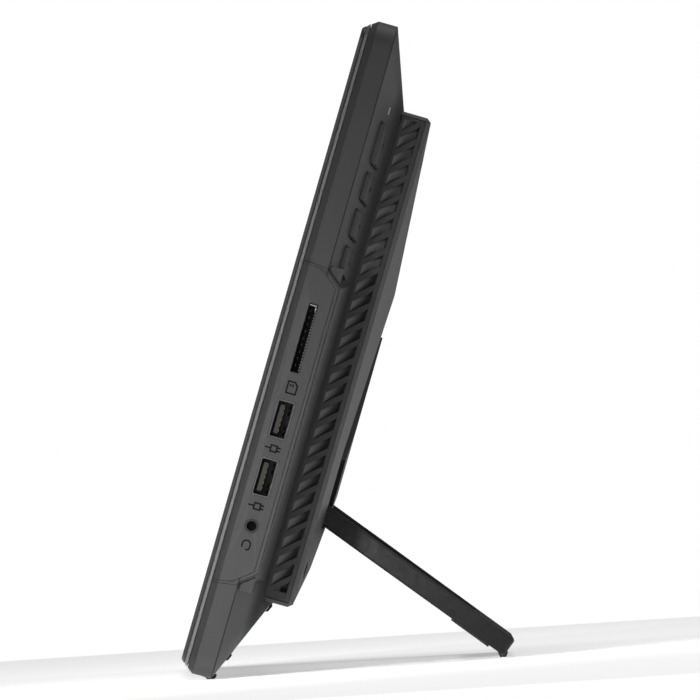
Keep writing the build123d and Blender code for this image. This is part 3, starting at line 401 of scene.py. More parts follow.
# finishes
finish = {
    # housing: painted shade along a crease line, in the corner before the raised back and on the front facets
    "housing": plastic("housingBlack", (0.017, 0.017, 0.0175), (0.024, 0.024, 0.0245), (0.46, 0.58),
        wear=0.35,
        paintedShade={"Corner_From": 17.4, "Corner_To": 21.2, "Corner_Amount": 0.85, "Front_Amount": 0.5}),
    # panel: painted shade band on the front facets
    "panel": plastic("panelBlack", (0.017, 0.017, 0.0175), (0.024, 0.024, 0.0245), (0.42, 0.52),
        wear=0.35, paintedShade={"Line_Half": 0.0, "Front_Amount": 0.5}),
    # ramp: black plastic painted about three times lighter than the housing, a painted highlight standing in
    # for light caught on the louvre ramps
    "ramp": plastic("rampBlack", (0.05, 0.05, 0.0505), (0.062, 0.062, 0.0625), (0.4, 0.5),
        wear=0.2),
    "glassEdge": plastic("glassEdge", (0.006, 0.006, 0.0065), (0.009, 0.009, 0.0095), (0.34, 0.42),
        depthMm=0.0, wear=0.2),
    # cover: painted shade on faces turned sideways
    "cover": plastic("coverBlack", (0.016, 0.016, 0.0165), (0.022, 0.022, 0.0225), (0.5, 0.62),
        depthMm=0.016, wear=0.35, paintedShade={"Line_Half": 0.0, "Side_Amount": 0.85}),
    "grille": plastic("grilleBlack", (0.005, 0.005, 0.0052), (0.008, 0.008, 0.0082), (0.4, 0.5),
        depthMm=0.006, wear=0.4),
    # buttons: painted shade towards the corner of the raised back
    "button": plastic("buttonBlack", (0.015, 0.015, 0.0155), (0.021, 0.021, 0.0215), (0.34, 0.44),
        depthMm=0.006, wear=0.5,
        paintedShade={"Line_Half": 0.0, "Corner_From": 15.5, "Corner_To": 19.5, "Corner_Amount": 0.7}),
    "bezel": plastic("bezelBlack", (0.045, 0.045, 0.046), (0.062, 0.062, 0.063), (0.3, 0.38),
        depthMm=0.004, wear=0.3),
    "glass": plastic("screenGlass", (0.0035, 0.0035, 0.004), (0.0045, 0.0045, 0.005), (0.04, 0.09),
        depthMm=0.0, wear=0.0, dust=0.04, coat=1.0, pane=True),
    "stand": plastic("standPaint", (0.007, 0.007, 0.0073), (0.0105, 0.0105, 0.011), (0.52, 0.64),
        depthMm=0.008, wear=0.4, dust=0.05, specular=0.14, worn=(0.06, 0.06, 0.062)),
    "rubber": plastic("softRubber", (0.012, 0.012, 0.012), (0.02, 0.02, 0.02), (0.75, 0.9),
        grain=1400.0, depthMm=0.02, wear=0.15, dust=0.5, specular=0.3),
    "portSteel": plastic("portSteel", (0.16, 0.16, 0.165), (0.24, 0.24, 0.245), (0.28, 0.4),
        grain=900.0, depthMm=0.003, wear=0.5, dust=0.1, metal=1.0, worn=(0.5, 0.5, 0.5)),
    "darkSteel": plastic("darkSteel", (0.05, 0.05, 0.052), (0.085, 0.085, 0.088), (0.34, 0.46),
        grain=900.0, depthMm=0.003, wear=0.7, dust=0.1, metal=1.0, worn=(0.4, 0.4, 0.4)),
    "portBlack": plastic("portBlack", (0.009, 0.009, 0.009), (0.014, 0.014, 0.014), (0.4, 0.5),
        grain=1800.0, depthMm=0.004, wear=0.2, dust=0.1),
    "brightSteel": plastic("brightSteel", (0.42, 0.42, 0.43), (0.56, 0.56, 0.57), (0.22, 0.34),
        grain=700.0, depthMm=0.003, wear=0.4, dust=0.1, metal=1.0, worn=(0.75, 0.75, 0.75)),
    "contactGold": plastic("contactGold", (0.62, 0.43, 0.16), (0.75, 0.54, 0.22), (0.2, 0.3),
        grain=700.0, depthMm=0.002, wear=0.2, dust=0.05, metal=1.0, worn=(0.8, 0.65, 0.35)),
    "board": plastic("boardGreen", (0.008, 0.05, 0.022), (0.012, 0.075, 0.032), (0.32, 0.45),
        grain=500.0, depthMm=0.01, wear=0.1, dust=0.15),
    "chip": plastic("chipBlack", (0.014, 0.014, 0.015), (0.022, 0.022, 0.023), (0.45, 0.6),
        grain=2000.0, depthMm=0.005, wear=0.3, dust=0.15),
    "aluminium": plastic("millAluminium", (0.5, 0.5, 0.51), (0.62, 0.62, 0.63), (0.3, 0.42),
        grain=800.0, depthMm=0.004, wear=0.3, dust=0.1, metal=1.0, worn=(0.8, 0.8, 0.8)),
    "copper": plastic("bareCopper", (0.6, 0.27, 0.14), (0.72, 0.36, 0.2), (0.28, 0.4),
        grain=600.0, depthMm=0.004, wear=0.3, dust=0.1, metal=1.0, worn=(0.85, 0.5, 0.32)),
    "brass": plastic("insertBrass", (0.5, 0.36, 0.14), (0.62, 0.46, 0.2), (0.28, 0.4),
        grain=900.0, depthMm=0.003, wear=0.4, dust=0.1, metal=1.0, worn=(0.8, 0.66, 0.36)),
    "ribbon": plastic("ribbonAmber", (0.32, 0.12, 0.03), (0.42, 0.17, 0.05), (0.3, 0.4),
        grain=500.0, depthMm=0.002, wear=0.1, dust=0.1),
    "lightGuide": plastic("lightGuide", (0.12, 0.12, 0.123), (0.2, 0.2, 0.205), (0.3, 0.4),
        grain=900.0, depthMm=0.003, wear=0.1, dust=0.05),
    "lens": plastic("lensGlass", (0.004, 0.003, 0.008), (0.008, 0.006, 0.014), (0.03, 0.06),
        grain=900.0, depthMm=0.0, wear=0.0, dust=0.0, coat=1.0),
    "ink": plastic("iconInk", (0.0015, 0.0015, 0.0015), (0.0025, 0.0025, 0.0025), (0.6, 0.7),
        grain=2600.0, depthMm=0.003, wear=0.0, dust=0.0, specular=0.15),
}
slotFinish = {
    "screen_glass": "glass", "bezel_plastic": "bezel", "housing_plastic": "housing", "panel_plastic": "panel",
    "cover_plastic": "cover", "grille_plastic": "grille", "button_plastic": "button",
    "light_guide": "lightGuide",
    "port_metal": "darkSteel", "port_plastic": "portBlack", "circuit_board": "board", "chip_plastic": "chip",
    "panel_metal": "aluminium", "sheet_steel": "brightSteel", "copper": "copper", "insert_brass": "brass",
    "screw_steel": "darkSteel", "stand_metal": "stand", "rubber": "rubber", "ribbon": "ribbon",
    "lens": "lens",
}
slotOf = {part["node"]: part["material_slot"] for part in record["subparts"]}
bodyOf = {node: body for body, held in record["behaviour"]["bodies"].items() for node in held}

for node, obj in frame["nodes"].items():
    obj.data.materials.clear()
    obj.data.materials.append(finish[slotFinish[slotOf[node]]])
print("finishes on", len(frame["nodes"]), "frame nodes")


# frame shapes carried over with softened edges
def adopt(obj, body, slot, *replaced):
    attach(obj, body)
    if replaced:
        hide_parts(*replaced)
    return obj


def newPiece(name, mesh):
    obj = bpy.data.objects.new(name, mesh)
    bpy.context.scene.collection.objects.link(obj)
    return obj


def settle(obj, smoothDeg=32):
    graph = bpy.context.evaluated_depsgraph_get()
    mesh = bpy.data.meshes.new_from_object(obj.evaluated_get(graph))
    obj.modifiers.clear()
    obj.data = mesh
    if smoothDeg:
        for poly in mesh.polygons:
            poly.use_smooth = True
        mesh.set_sharp_from_angle(angle=math.radians(smoothDeg))
    return obj


def softened(node, width):
    source = frame["nodes"][node]
    mesh = bpy.data.meshes.new(node + "_shaped")
    bm = bmesh.new()
    bm.from_mesh(source.data)
    bmesh.ops.remove_doubles(bm, verts=bm.verts, dist=2e-6)
    bmesh.ops.dissolve_limit(bm, angle_limit=math.radians(0.6), verts=bm.verts, edges=bm.edges)
    for face in bm.faces:
        face.smooth = True
    bm.to_mesh(mesh)
    bm.free()
    mesh.materials.clear()
    mesh.materials.append(finish[slotFinish[slotOf[node]]])
    obj = newPiece(node + "_shaped", mesh)
    bevel = obj.modifiers.new("soften", "BEVEL")
    bevel.width = width * mm
    bevel.segments = 2
    bevel.limit_method = "ANGLE"
    bevel.angle_limit = math.radians(25)
    bevel.use_clamp_overlap = True
    obj.modifiers.new("flatten", "WEIGHTED_NORMAL").mode = "FACE_AREA_WITH_ANGLE"
    settle(obj, None)
    return adopt(obj, bodyOf[node], slotOf[node], node)


softEdges = {
    "rear_shell": 0.25, "port_block_right": 0.15, "port_block_left": 0.15, "side_io_panel": 0.18,
    "left_io_panel": 0.18, "back_cover": 0.3, "front_glass": 0.15, "bezel_ring": 0.12, "stand_frame": 0.3,
}
for node, width in softEdges.items():
    softened(node, width)
panelSet = {"outerFrom": 193.45, "inset": 0.02}
for node in ("side_io_panel", "left_io_panel"):
    # the panel faces sit a hair inside the frame's box, which leaves room for the printed symbols
    for vert in bpy.data.objects[node + "_shaped"].data.vertices:
        if abs(vert.co.x) > panelSet["outerFrom"] * mm:
            vert.co.x -= math.copysign(panelSet["inset"] * mm, vert.co.x)
pane = bpy.data.objects["front_glass_shaped"].data
pane.materials.append(finish["glassEdge"])
for poly in pane.polygons:
    poly.material_index = 0 if poly.normal.dot(back) < -0.9 else 1
print("softened", len(softEdges), "covers")


# geometry nodes: one tree repeats a shape along a step, one sets a shape on points
def newTree(name, sockets):
    tree = bpy.data.node_groups.new(name, "GeometryNodeTree")
    tree.interface.new_socket(name="Geometry", in_out="INPUT", socket_type="NodeSocketGeometry")
    for label, kind in sockets:
        tree.interface.new_socket(name=label, in_out="INPUT", socket_type="NodeSocket" + kind)
    tree.interface.new_socket(name="Geometry", in_out="OUTPUT", socket_type="NodeSocketGeometry")
    return tree, tree.nodes.new("NodeGroupInput"), tree.nodes.new("NodeGroupOutput")


def endTree(tree, inp, out, instances):
    real = tree.nodes.new("GeometryNodeRealizeInstances")
    paint = tree.nodes.new("GeometryNodeSetMaterial")
    wire(tree, (instances, real.inputs[0]), (real.outputs[0], paint.inputs["Geometry"]),
         (inp.outputs["Finish"], paint.inputs["Material"]), (paint.outputs[0], out.inputs[0]))


def makeRowTree():
    tree, inp, out = newTree("repeatInRow", [("Count", "Int"), ("Step", "Vector"), ("Finish", "Material")])
    line = tree.nodes.new("GeometryNodeMeshLine")
    spread = tree.nodes.new("GeometryNodeInstanceOnPoints")
    wire(tree, (inp.outputs["Count"], line.inputs["Count"]), (inp.outputs["Step"], line.inputs["Offset"]),
         (line.outputs[0], spread.inputs["Points"]), (inp.outputs["Geometry"], spread.inputs["Instance"]))
    endTree(tree, inp, out, spread.outputs[0])
    return tree


def makePointsTree():
    tree, inp, out = newTree("setOnPoints", [("Shape", "Object"), ("Turn Spread", "Float"), ("Seed", "Int"),
                                             ("Axis", "Vector"), ("Finish", "Material")])
    shape = tree.nodes.new("GeometryNodeObjectInfo")
    chance = tree.nodes.new("FunctionNodeRandomValue")
    chance.data_type = "FLOAT"
    turn = tree.nodes.new("FunctionNodeAxisAngleToRotation")
    spread = tree.nodes.new("GeometryNodeInstanceOnPoints")
    floatSocks = [i for i in chance.inputs if i.type == "VALUE"]
    wire(tree, (inp.outputs["Shape"], shape.inputs["Object"]), (inp.outputs["Turn Spread"], floatSocks[1]),
         (inp.outputs["Seed"], chance.inputs["Seed"]), (inp.outputs["Axis"], turn.inputs["Axis"]),
         ([o for o in chance.outputs if o.type == "VALUE"][0], turn.inputs["Angle"]),
         (turn.outputs[0], spread.inputs["Rotation"]), (inp.outputs["Geometry"], spread.inputs["Points"]),
         (shape.outputs["Geometry"], spread.inputs["Instance"]))
    endTree(tree, inp, out, spread.outputs[0])
    return tree


rowTree, pointsTree = makeRowTree(), makePointsTree()


def runTree(obj, tree, **values):
    mod = obj.modifiers.new("nodes", "NODES")
    mod.node_group = tree
    idOf = {i.name: i.identifier for i in tree.interface.items_tree if i.in_out == "INPUT"}
    for label, value in values.items():
        mod[idOf[label.replace("_", " ")]] = value
    return settle(obj)


def solid(bm, outline, x0, x1, shift=(0.0, 0.0)):
    # closed prism between two x planes; outline holds (deep, high) points, shift moves the far end
    near = [bm.verts.new((x0, d, h)) for d, h in outline]
    far = [bm.verts.new((x1, d + shift[0], h + shift[1])) for d, h in outline]
    bm.faces.new(near)
    bm.faces.new(list(reversed(far)))
    for k in range(len(near)):
        n = (k + 1) % len(near)
        bm.faces.new((near[k], far[k], far[n], near[n]))


def block(bm, x, deep, high):
    # six-sided block between pairs of limits
    solid(bm, [(deep[0], high[0]), (deep[1], high[0]), (deep[1], high[1]), (deep[0], high[1])], x[0], x[1])


def finishMesh(bm, name, material, bevelMm=0.0, segments=1):
    # upright millimetres become metres in the row frame
    bmesh.ops.recalc_face_normals(bm, faces=bm.faces)
    if bevelMm:
        edges = [e for e in bm.edges if len(e.link_faces) == 2 and e.calc_face_angle(0) > 0.5]
        bmesh.ops.bevel(bm, geom=edges, offset=bevelMm, segments=segments, affect="EDGES", clamp_overlap=True)
    bmesh.ops.transform(bm, matrix=toRow, verts=bm.verts)
    bmesh.ops.recalc_face_normals(bm, faces=bm.faces)
    mesh = bpy.data.meshes.new(name)
    bm.to_mesh(mesh)
    bm.free()
    mesh.materials.append(material)
    return newPiece(name, mesh)


def joined(name, pieces):
    bm = bmesh.new()
    mesh = bpy.data.meshes.new(name)
    mats = []
    for piece in pieces:
        start = len(bm.faces)
        bm.from_mesh(piece.data)
        bm.faces.ensure_lookup_table()
        for face in bm.faces[start:]:
            mat = piece.data.materials[face.material_index]
            if mat not in mats:
                mats.append(mat)
            face.material_index = mats.index(mat)
    bm.to_mesh(mesh)
    bm.free()
    for mat in mats:
        mesh.materials.append(mat)
    for piece in pieces:
        bpy.data.objects.remove(piece)
    return settle(newPiece(name, mesh))


# side vents: rails, slanted ribs, and the ramps that lead air in behind them
ventSet = {"face": 167.0, "thick": 4.2, "front": 22.3, "slotFront": 23.4, "slotBack": 29.45, "back": 31.1,
           "low": 33.3, "high": 210.1, "firstTop": 207.6, "pitch": 6.7, "gap": 3.7, "rise": 5.3, "ribs": 27,
           "rampDeep": 2.9, "rampRun": 5.6, "rampSunk": 0.3, "footTall": 3.0, "headTall": 0.9, "reach": 0.6,
           "bevel": 0.22}


def ventRibs(s, sign):
    bm = bmesh.new()
    face = sign * s["face"]
    inner = sign * (s["face"] - s["thick"])
    top = s["firstTop"] + s["pitch"] + s["pitch"] - s["gap"]  # back top corner of the highest rib
    reach = s["reach"]
    slope = s["rise"] / (s["slotBack"] - s["slotFront"])
    a, b = s["slotFront"] - reach, s["slotBack"] + reach
    tall = s["pitch"] - s["gap"]
    backTop = top + slope * reach
    frontTop = top - s["rise"] - slope * reach
    outline = [(a, frontTop - tall), (b, backTop - tall), (b, backTop), (a, frontTop)]
    solid(bm, outline, face - sign * 0.02, inner)
    ribs = finishMesh(bm, "ribs", finish["grille"], s["bevel"])
    step = up * -s["pitch"] * mm
    ribs = runTree(ribs, rowTree, Count=s["ribs"], Step=step, Finish=finish["grille"])
    for high, keepBelow in ((s["high"] - 0.5, True), (s["low"] + 0.5, False)):
        bm = bmesh.new()
        bm.from_mesh(ribs.data)
        cut = bmesh.ops.bisect_plane(bm, geom=bm.verts[:] + bm.edges[:] + bm.faces[:], dist=1e-7,
                                     clear_outer=True,
                                     plane_co=place(0, 0, high), plane_no=up if keepBelow else -up)
        bmesh.ops.holes_fill(bm, edges=[e for e in cut["geom_cut"] if isinstance(e, bmesh.types.BMEdge)])
        bm.to_mesh(ribs.data)
        bm.free()
    return ribs


def ventRails(s, sign):
    bm = bmesh.new()
    face, inner = sign * s["face"], sign * (s["face"] - s["thick"])
    slot = (s["slotFront"] - 0.1, s["slotBack"] + 0.1)
    block(bm, (face, inner), (s["front"], s["slotFront"]), (s["low"], s["high"]))
    block(bm, (face, inner), (s["slotBack"], s["back"]), (s["low"], s["high"]))
    block(bm, (face, inner), slot, (s["low"], s["low"] + s["footTall"]))
    block(bm, (face, inner), slot, (s["high"] - s["headTall"], s["high"]))
    return finishMesh(bm, "rails", finish["grille"], 0.12)


def ventRamp(s, sign):
    # one continuous sloped strip: shallow at the front rail, falling away towards the back
    bm = bmesh.new()
    face = s["face"]
    deep = face - s["rampDeep"] - s["rampSunk"]
    tail = s["slotFront"] + s["rampRun"]
    front = s["slotFront"] - 0.05
    outline = [(face - s["rampSunk"], front), (deep, tail), (deep - 0.4, tail), (deep - 0.4, front)]
    rows = []
    for high in (s["low"] + 1.0, s["high"] - 0.4):
        rows.append([bm.verts.new((sign * x, w, high)) for x, w in outline])
    bm.faces.new(rows[0])
    bm.faces.new(list(reversed(rows[1])))
    for k in range(4):
        n = (k + 1) % 4
        bm.faces.new((rows[0][k], rows[1][k], rows[1][n], rows[0][n]))
    return finishMesh(bm, "ramp", finish["ramp"])


# dust screens: fine punched sheets just inside the louvres, backed by a dark sheet of painted shade
screenSet = {"at": 163.2, "thick": 0.35, "front": 22.9, "back": 30.2, "low": 36.2, "high": 208.0,
             "pitch": 1.3, "hole": 0.36,
             "backing": (0.05, 1.3)}


def screenCell(s, sign):
    # one square cell with an eight-sided hole, repeated up and along by the row tree
    bm = bmesh.new()
    half = s["pitch"] / 2
    around = ((1, 0), (1, 1), (0, 1), (-1, 1), (-1, 0), (-1, -1), (0, -1), (1, -1))
    ring = [(half * a, half * b) for a, b in around]
    turn = [2 * math.pi * k / 8 for k in range(8)]
    hole = [(s["hole"] * math.cos(t), s["hole"] * math.sin(t)) for t in turn]
    x0, x1 = sign * s["at"], sign * (s["at"] - s["thick"])
    d0, h0 = s["front"] + half, s["low"] + half
    rows = [[bm.verts.new((x, d0 + d, h0 + h)) for d, h in pts] for x in (x0, x1) for pts in (ring, hole)]
    for k in range(8):
        n = (k + 1) % 8
        bm.faces.new((rows[0][k], rows[0][n], rows[1][n], rows[1][k]))
        bm.faces.new((rows[3][k], rows[3][n], rows[2][n], rows[2][k]))
        bm.faces.new((rows[1][k], rows[1][n], rows[3][n], rows[3][k]))
        bm.faces.new((rows[2][k], rows[2][n], rows[0][n], rows[0][k]))
    cell = finishMesh(bm, "screenCell", finish["portBlack"])
    across = int((s["back"] - s["front"]) / s["pitch"])
    tall = int((s["high"] - s["low"]) / s["pitch"])
    runTree(cell, rowTree, Count=across, Step=back * s["pitch"] * mm, Finish=finish["portBlack"])
    return runTree(cell, rowTree, Count=tall, Step=up * s["pitch"] * mm, Finish=finish["portBlack"])


# dark sheet behind the punched screen: painted shade standing in for the shaded interior, so no background
# shows through the holes
def filterFoam(s, sign):
    bm = bmesh.new()
    rear = s["at"] - s["thick"]
    block(bm, [sign * (rear - depth) for depth in s["backing"]], (s["front"], s["back"] - 0.3),
          (s["low"], s["high"]))
    return finishMesh(bm, "filterFoam", finish["rubber"], 0.1)


for label, sign in (("right", 1), ("left", -1)):
    screen = joined("dust_screen_" + label, [screenCell(screenSet, sign), filterFoam(screenSet, sign)])
    adopt(screen, "housing", "port_plastic")
print("dust screens punched")


for label, sign in (("right", 1), ("left", -1)):
    parts = [ventRibs(ventSet, sign), ventRails(ventSet, sign), ventRamp(ventSet, sign)]
    adopt(joined("vent_louvres_" + label, parts), "housing", "grille_plastic", "vent_grille_" + label)
print("louvres built")


# side buttons: wedge-topped keys with rounded corners
# middle line of the button row, and the normal of the slope it lies on
slopeAt = {"x": 180.51, "deep": 17.2, "nx": 0.3592, "nw": 0.9333}


def onSlope(a, b, h):
    # a runs up the screen, b outward and forward, h out of the sloped face
    s = slopeAt
    return Vector((s["x"] + b * s["nw"] + h * s["nx"], s["deep"] - b * s["nx"] + h * s["nw"], a))


def roundedLoop(points, radius, steps=4):
    loop = []
    count = len(points)
    for k, here in enumerate(points):
        here = Vector(here)
        before, after = Vector(points[k - 1]), Vector(points[(k + 1) % count])
        start = here + (before - here).normalized() * radius
        end = here + (after - here).normalized() * radius
        for n in range(steps + 1):
            t = n / steps
            loop.append((1 - t) ** 2 * start + 2 * t * (1 - t) * here + t ** 2 * end)
    return loop


def shrunk(points, by):
    # each side of a counter-clockwise polygon moves in by the same amount
    out = []
    count = len(points)
    for k in range(count):
        a, b, c = Vector(points[k - 1]), Vector(points[k]), Vector(points[(k + 1) % count])
        u, v = (b - a).normalized(), (c - b).normalized()
        n1, n2 = Vector((-u.y, u.x)), Vector((-v.y, v.x))
        out.append(b + (n1 + n2) * (by / (1 + n1.dot(n2))))
    return out


def stackLoops(bm, rings):
    # closed skin through rings of equal length, capped at both ends
    rows = [[bm.verts.new(p) for p in ring] for ring in rings]
    for low, high in zip(rows, rows[1:]):
        for k in range(len(low)):
            n = (k + 1) % len(low)
            bm.faces.new((low[k], low[n], high[n], high[k]))
    bm.faces.new(list(reversed(rows[0])))
    bm.faces.new(rows[-1])


buttonSet = {"half": 3.5, "slant": 2.0, "radius": 0.9, "root": -3.4, "shoulder": 1.25, "crest": 1.7,
             "tilt": 0.12,
             "edge": 0.42, "icon": 0.34}
buttonSpans = {"power_button": (191.0, 206.0), "brightness_up_button": (177.5, 187.5),
               "brightness_down_button": (164.0, 174.0), "menu_button": (150.4, 160.4)}


def buttonKey(s, name, low, high):
    half, slant = s["half"], s["slant"]
    outline = [(low, half), (low - slant, -half), (high - slant, -half), (high, half)]
    if sum(a[0] * b[1] - b[0] * a[1] for a, b in zip(outline, outline[1:] + outline[:1])) < 0:
        outline.reverse()
    rings = []
    profile = ((s["root"], 0.0), (s["shoulder"], 0.0), (s["crest"] - 0.1, s["edge"] * 0.45),
               (s["crest"], s["edge"]))
    for height, inset in profile:
        loop = roundedLoop(shrunk(outline, inset), s["radius"] - inset * 0.5)
        lift = s["tilt"] if height > 0 else 0.0
        rings.append([onSlope(p.x, p.y, height + lift * p.y * 0.5 - lift) for p in loop])
    bm = bmesh.new()
    stackLoops(bm, rings)
    return finishMesh(bm, name + "_key", finish["button"])


# small symbols, laid in flat ribbons
def ribbon(bm, points, width, toUpright, closed=False, thick=0.03):
    pts = [Vector(p) for p in points]
    count = len(pts)
    sides = []
    for k, p in enumerate(pts):
        before = pts[k - 1] if (k or closed) else None
        after = pts[(k + 1) % count] if (k < count - 1 or closed) else None
        u = (p - before).normalized() if before is not None else (after - p).normalized()
        v = (after - p).normalized() if after is not None else u
        n = Vector((-(u + v).y, (u + v).x))
        n = n.normalized() * (width / 2) / max(0.5, math.sqrt(max(0.0, (1 + u.dot(v)) / 2)))
        sides.append((p + n, p - n))
    rows = []
    for a, b in sides:
        corners = ((a, thick), (b, thick), (b, -0.2), (a, -0.2))
        rows.append([bm.verts.new(toUpright(q.x, q.y, h)) for q, h in corners])
    spans = count if closed else count - 1
    for k in range(spans):
        r, t = rows[k], rows[(k + 1) % count]
        for n in range(4):
            m = (n + 1) % 4
            bm.faces.new((r[n], r[m], t[m], t[n]))
    if not closed:
        bm.faces.new(rows[0])
        bm.faces.new(list(reversed(rows[-1])))


def arcPoints(cx, cy, radius, fromDeg, toDeg, steps=14):
    angles = [math.radians(fromDeg + (toDeg - fromDeg) * k / steps) for k in range(steps + 1)]
    return [(cx + radius * math.cos(t), cy + radius * math.sin(t)) for t in angles]


def boxPoints(cx, cy, w, h):
    x0, x1, y0, y1 = cx - w / 2, cx + w / 2, cy - h / 2, cy + h / 2
    return [(x0, y0), (x1, y0), (x1, y1), (x0, y1)]


def sunSymbol(disc, rayFrom, rayTo):
    turns = [math.pi * k / 4 for k in range(8)]
    rays = [([(math.cos(t) * r, math.sin(t) * r) for r in (rayFrom, rayTo)], False) for t in turns]
    return [(arcPoints(0, 0, disc, 0, 315, 7), True)] + rays


symbols = {
    "card": [([(-1.7, -2.2), (-1.7, 2.0), (0.7, 2.0), (1.7, 0.8), (1.7, -2.2)], True),
             ([(-0.7, 1.2), (-0.7, 0.2)], False),
             ([(0.2, 1.2), (0.2, 0.2)], False)],
    "plug": [(boxPoints(0.2, 0, 2.2, 2.2), True), ([(-0.9, 0), (-3.1, 0)], False),
             ([(1.3, 0.6), (2.6, 0.6)], False),
             ([(1.3, -0.6), (2.6, -0.6)], False)],
    "headset": [(arcPoints(0, 0.1, 1.45, -20, 200), False), ([(-1.4, -0.2), (-1.4, -1.2)], False),
                ([(1.4, -0.2), (1.4, -1.2)], False), ([(1.4, -1.2), (0.9, -1.7), (0.1, -1.7)], False)],
    "screen": [(boxPoints(0, 0.3, 3.8, 2.6), True), ([(-1.0, -1.7), (1.0, -1.7)], False)],
    "network": [(boxPoints(0, 1.2, 1.3, 1.0), True), (boxPoints(-1.4, -1.2, 1.3, 1.0), True),
                (boxPoints(1.4, -1.2, 1.3, 1.0), True),
                ([(0, 0.7), (0, -0.1)], False), ([(-1.4, -0.7), (-1.4, -0.1), (1.4, -0.1), (1.4, -0.7)],
                                                 False)],
    "inlet": [(arcPoints(0, 0, 1.0, 30, 330), False), ([(1.0, 0), (2.6, 0)], False),
              ([(-1.0, 0), (-2.6, 0)], False)],
    "lock": [(boxPoints(0, -0.7, 2.4, 1.8), True), (arcPoints(0, 0.2, 0.8, 0, 180, 8), False)],
    "power": [(arcPoints(0, 0, 0.85, -50, 230), False), ([(0, 0.3), (0, 1.15)], False)],
    "sunHigh": sunSymbol(0.5, 0.8, 1.2),
    "sunLow": sunSymbol(0.35, 0.6, 0.85),
    "menu": [([(-0.9, h), (0.9, h)], False) for h in (-0.6, 0.0, 0.6)],
}


def drawSymbol(bm, name, toUpright, width, size=1.0):
    for points, closed in symbols[name]:
        ribbon(bm, [(x * size, y * size) for x, y in points], width, toUpright, closed)


buttonIcons = {"power_button": "power", "brightness_up_button": "sunHigh",
               "brightness_down_button": "sunLow", "menu_button": "menu"}
for name, (low, high) in buttonSpans.items():
    key = buttonKey(buttonSet, name, low, high)
    bm = bmesh.new()
    middle = (low + high - buttonSet["slant"]) / 2
    crest = buttonSet["crest"] - buttonSet["tilt"]

    def onKey(x, y, h):
        return onSlope(middle + y, -x, crest - buttonSet["tilt"] * x * 0.5 + h)

    drawSymbol(bm, buttonIcons[name], onKey, buttonSet["icon"])
    icon = finishMesh(bm, name + "_icon", finish["ink"])
    adopt(joined(name + "_cap", [key, icon]), name, "button_plastic", name)
print("buttons shaped")


# symbols beside the ports
iconSet = {"face": 193.496, "width": 0.55}
rightIcons = [("card", 11.4, 106.9, 1.0), ("plug", 10.9, 84.4, 1.0), ("plug", 10.9, 63.2, 1.0),
              ("headset", 11.1, 49.2, 1.0)]
leftIcons = [("inlet", 11.0, 128.8, 0.8), ("network", 10.6, 107.8, 0.62), ("screen", 11.0, 89.2, 0.55),
             ("plug", 11.0, 71.5, 0.65),
             ("plug", 11.0, 53.9, 0.55), ("lock", 11.0, 40.4, 0.6)]
for label, sign, marks in (("right", 1, rightIcons), ("left", -1, leftIcons)):
    bm = bmesh.new()
    for name, deep, high, size in marks:

        def onPanel(x, y, h):
            return Vector((sign * (iconSet["face"] + (h if h < 0 else 0.0)), deep + sign * x, high + y))

        drawSymbol(bm, name, onPanel, iconSet["width"] * (0.75 if size < 1 else 1), size)
    adopt(finishMesh(bm, "port_symbols_" + label, finish["ink"]), "housing", "panel_plastic")
print("symbols laid in")


# ports: thin metal frames, tongues, contacts and spring tabs
def frameRing(bm, deep, high, wide, tall, radius, wall, x0, x1):
    outer = roundedLoop(boxPoints(0, 0, wide, tall), radius)
    inner = roundedLoop(boxPoints(0, 0, wide - 2 * wall, tall - 2 * wall), max(0.05, radius - wall))
    rows = []
    for loop, x in ((outer, x0), (inner, x0), (inner, x1), (outer, x1)):
        rows.append([bm.verts.new((x, deep + p.x, high + p.y)) for p in loop])
    count = len(outer)
    for a in range(4):
        for k in range(count):
            n = (k + 1) % count
            b = (a + 1) % 4
            bm.faces.new((rows[a][k], rows[a][n], rows[b][n], rows[b][k]))


portSet = {"face": 193.0, "depth": 12.8, "wide": 6.2, "tall": 13.6, "radius": 0.6, "wall": 0.33, "deep": 11.0,
           "baseThick": 0.8, "baseHalf": (2.9, 6.6), "tongue": (-1.75, -0.15), "tongueHalf": 5.2,
           "tongueBack": 1.2,
           "contacts": 5, "contactPitch": 2.0, "contactHalf": 0.45, "contactSpan": (2.0, 8.5),
           "tabsAt": (2.6, 4.9), "tabHalf": 0.7, "tabDeep": (2.72, 2.5), "tabSpan": (2.2, 6.5),
           "tabBend": (-0.9, 0.0)}


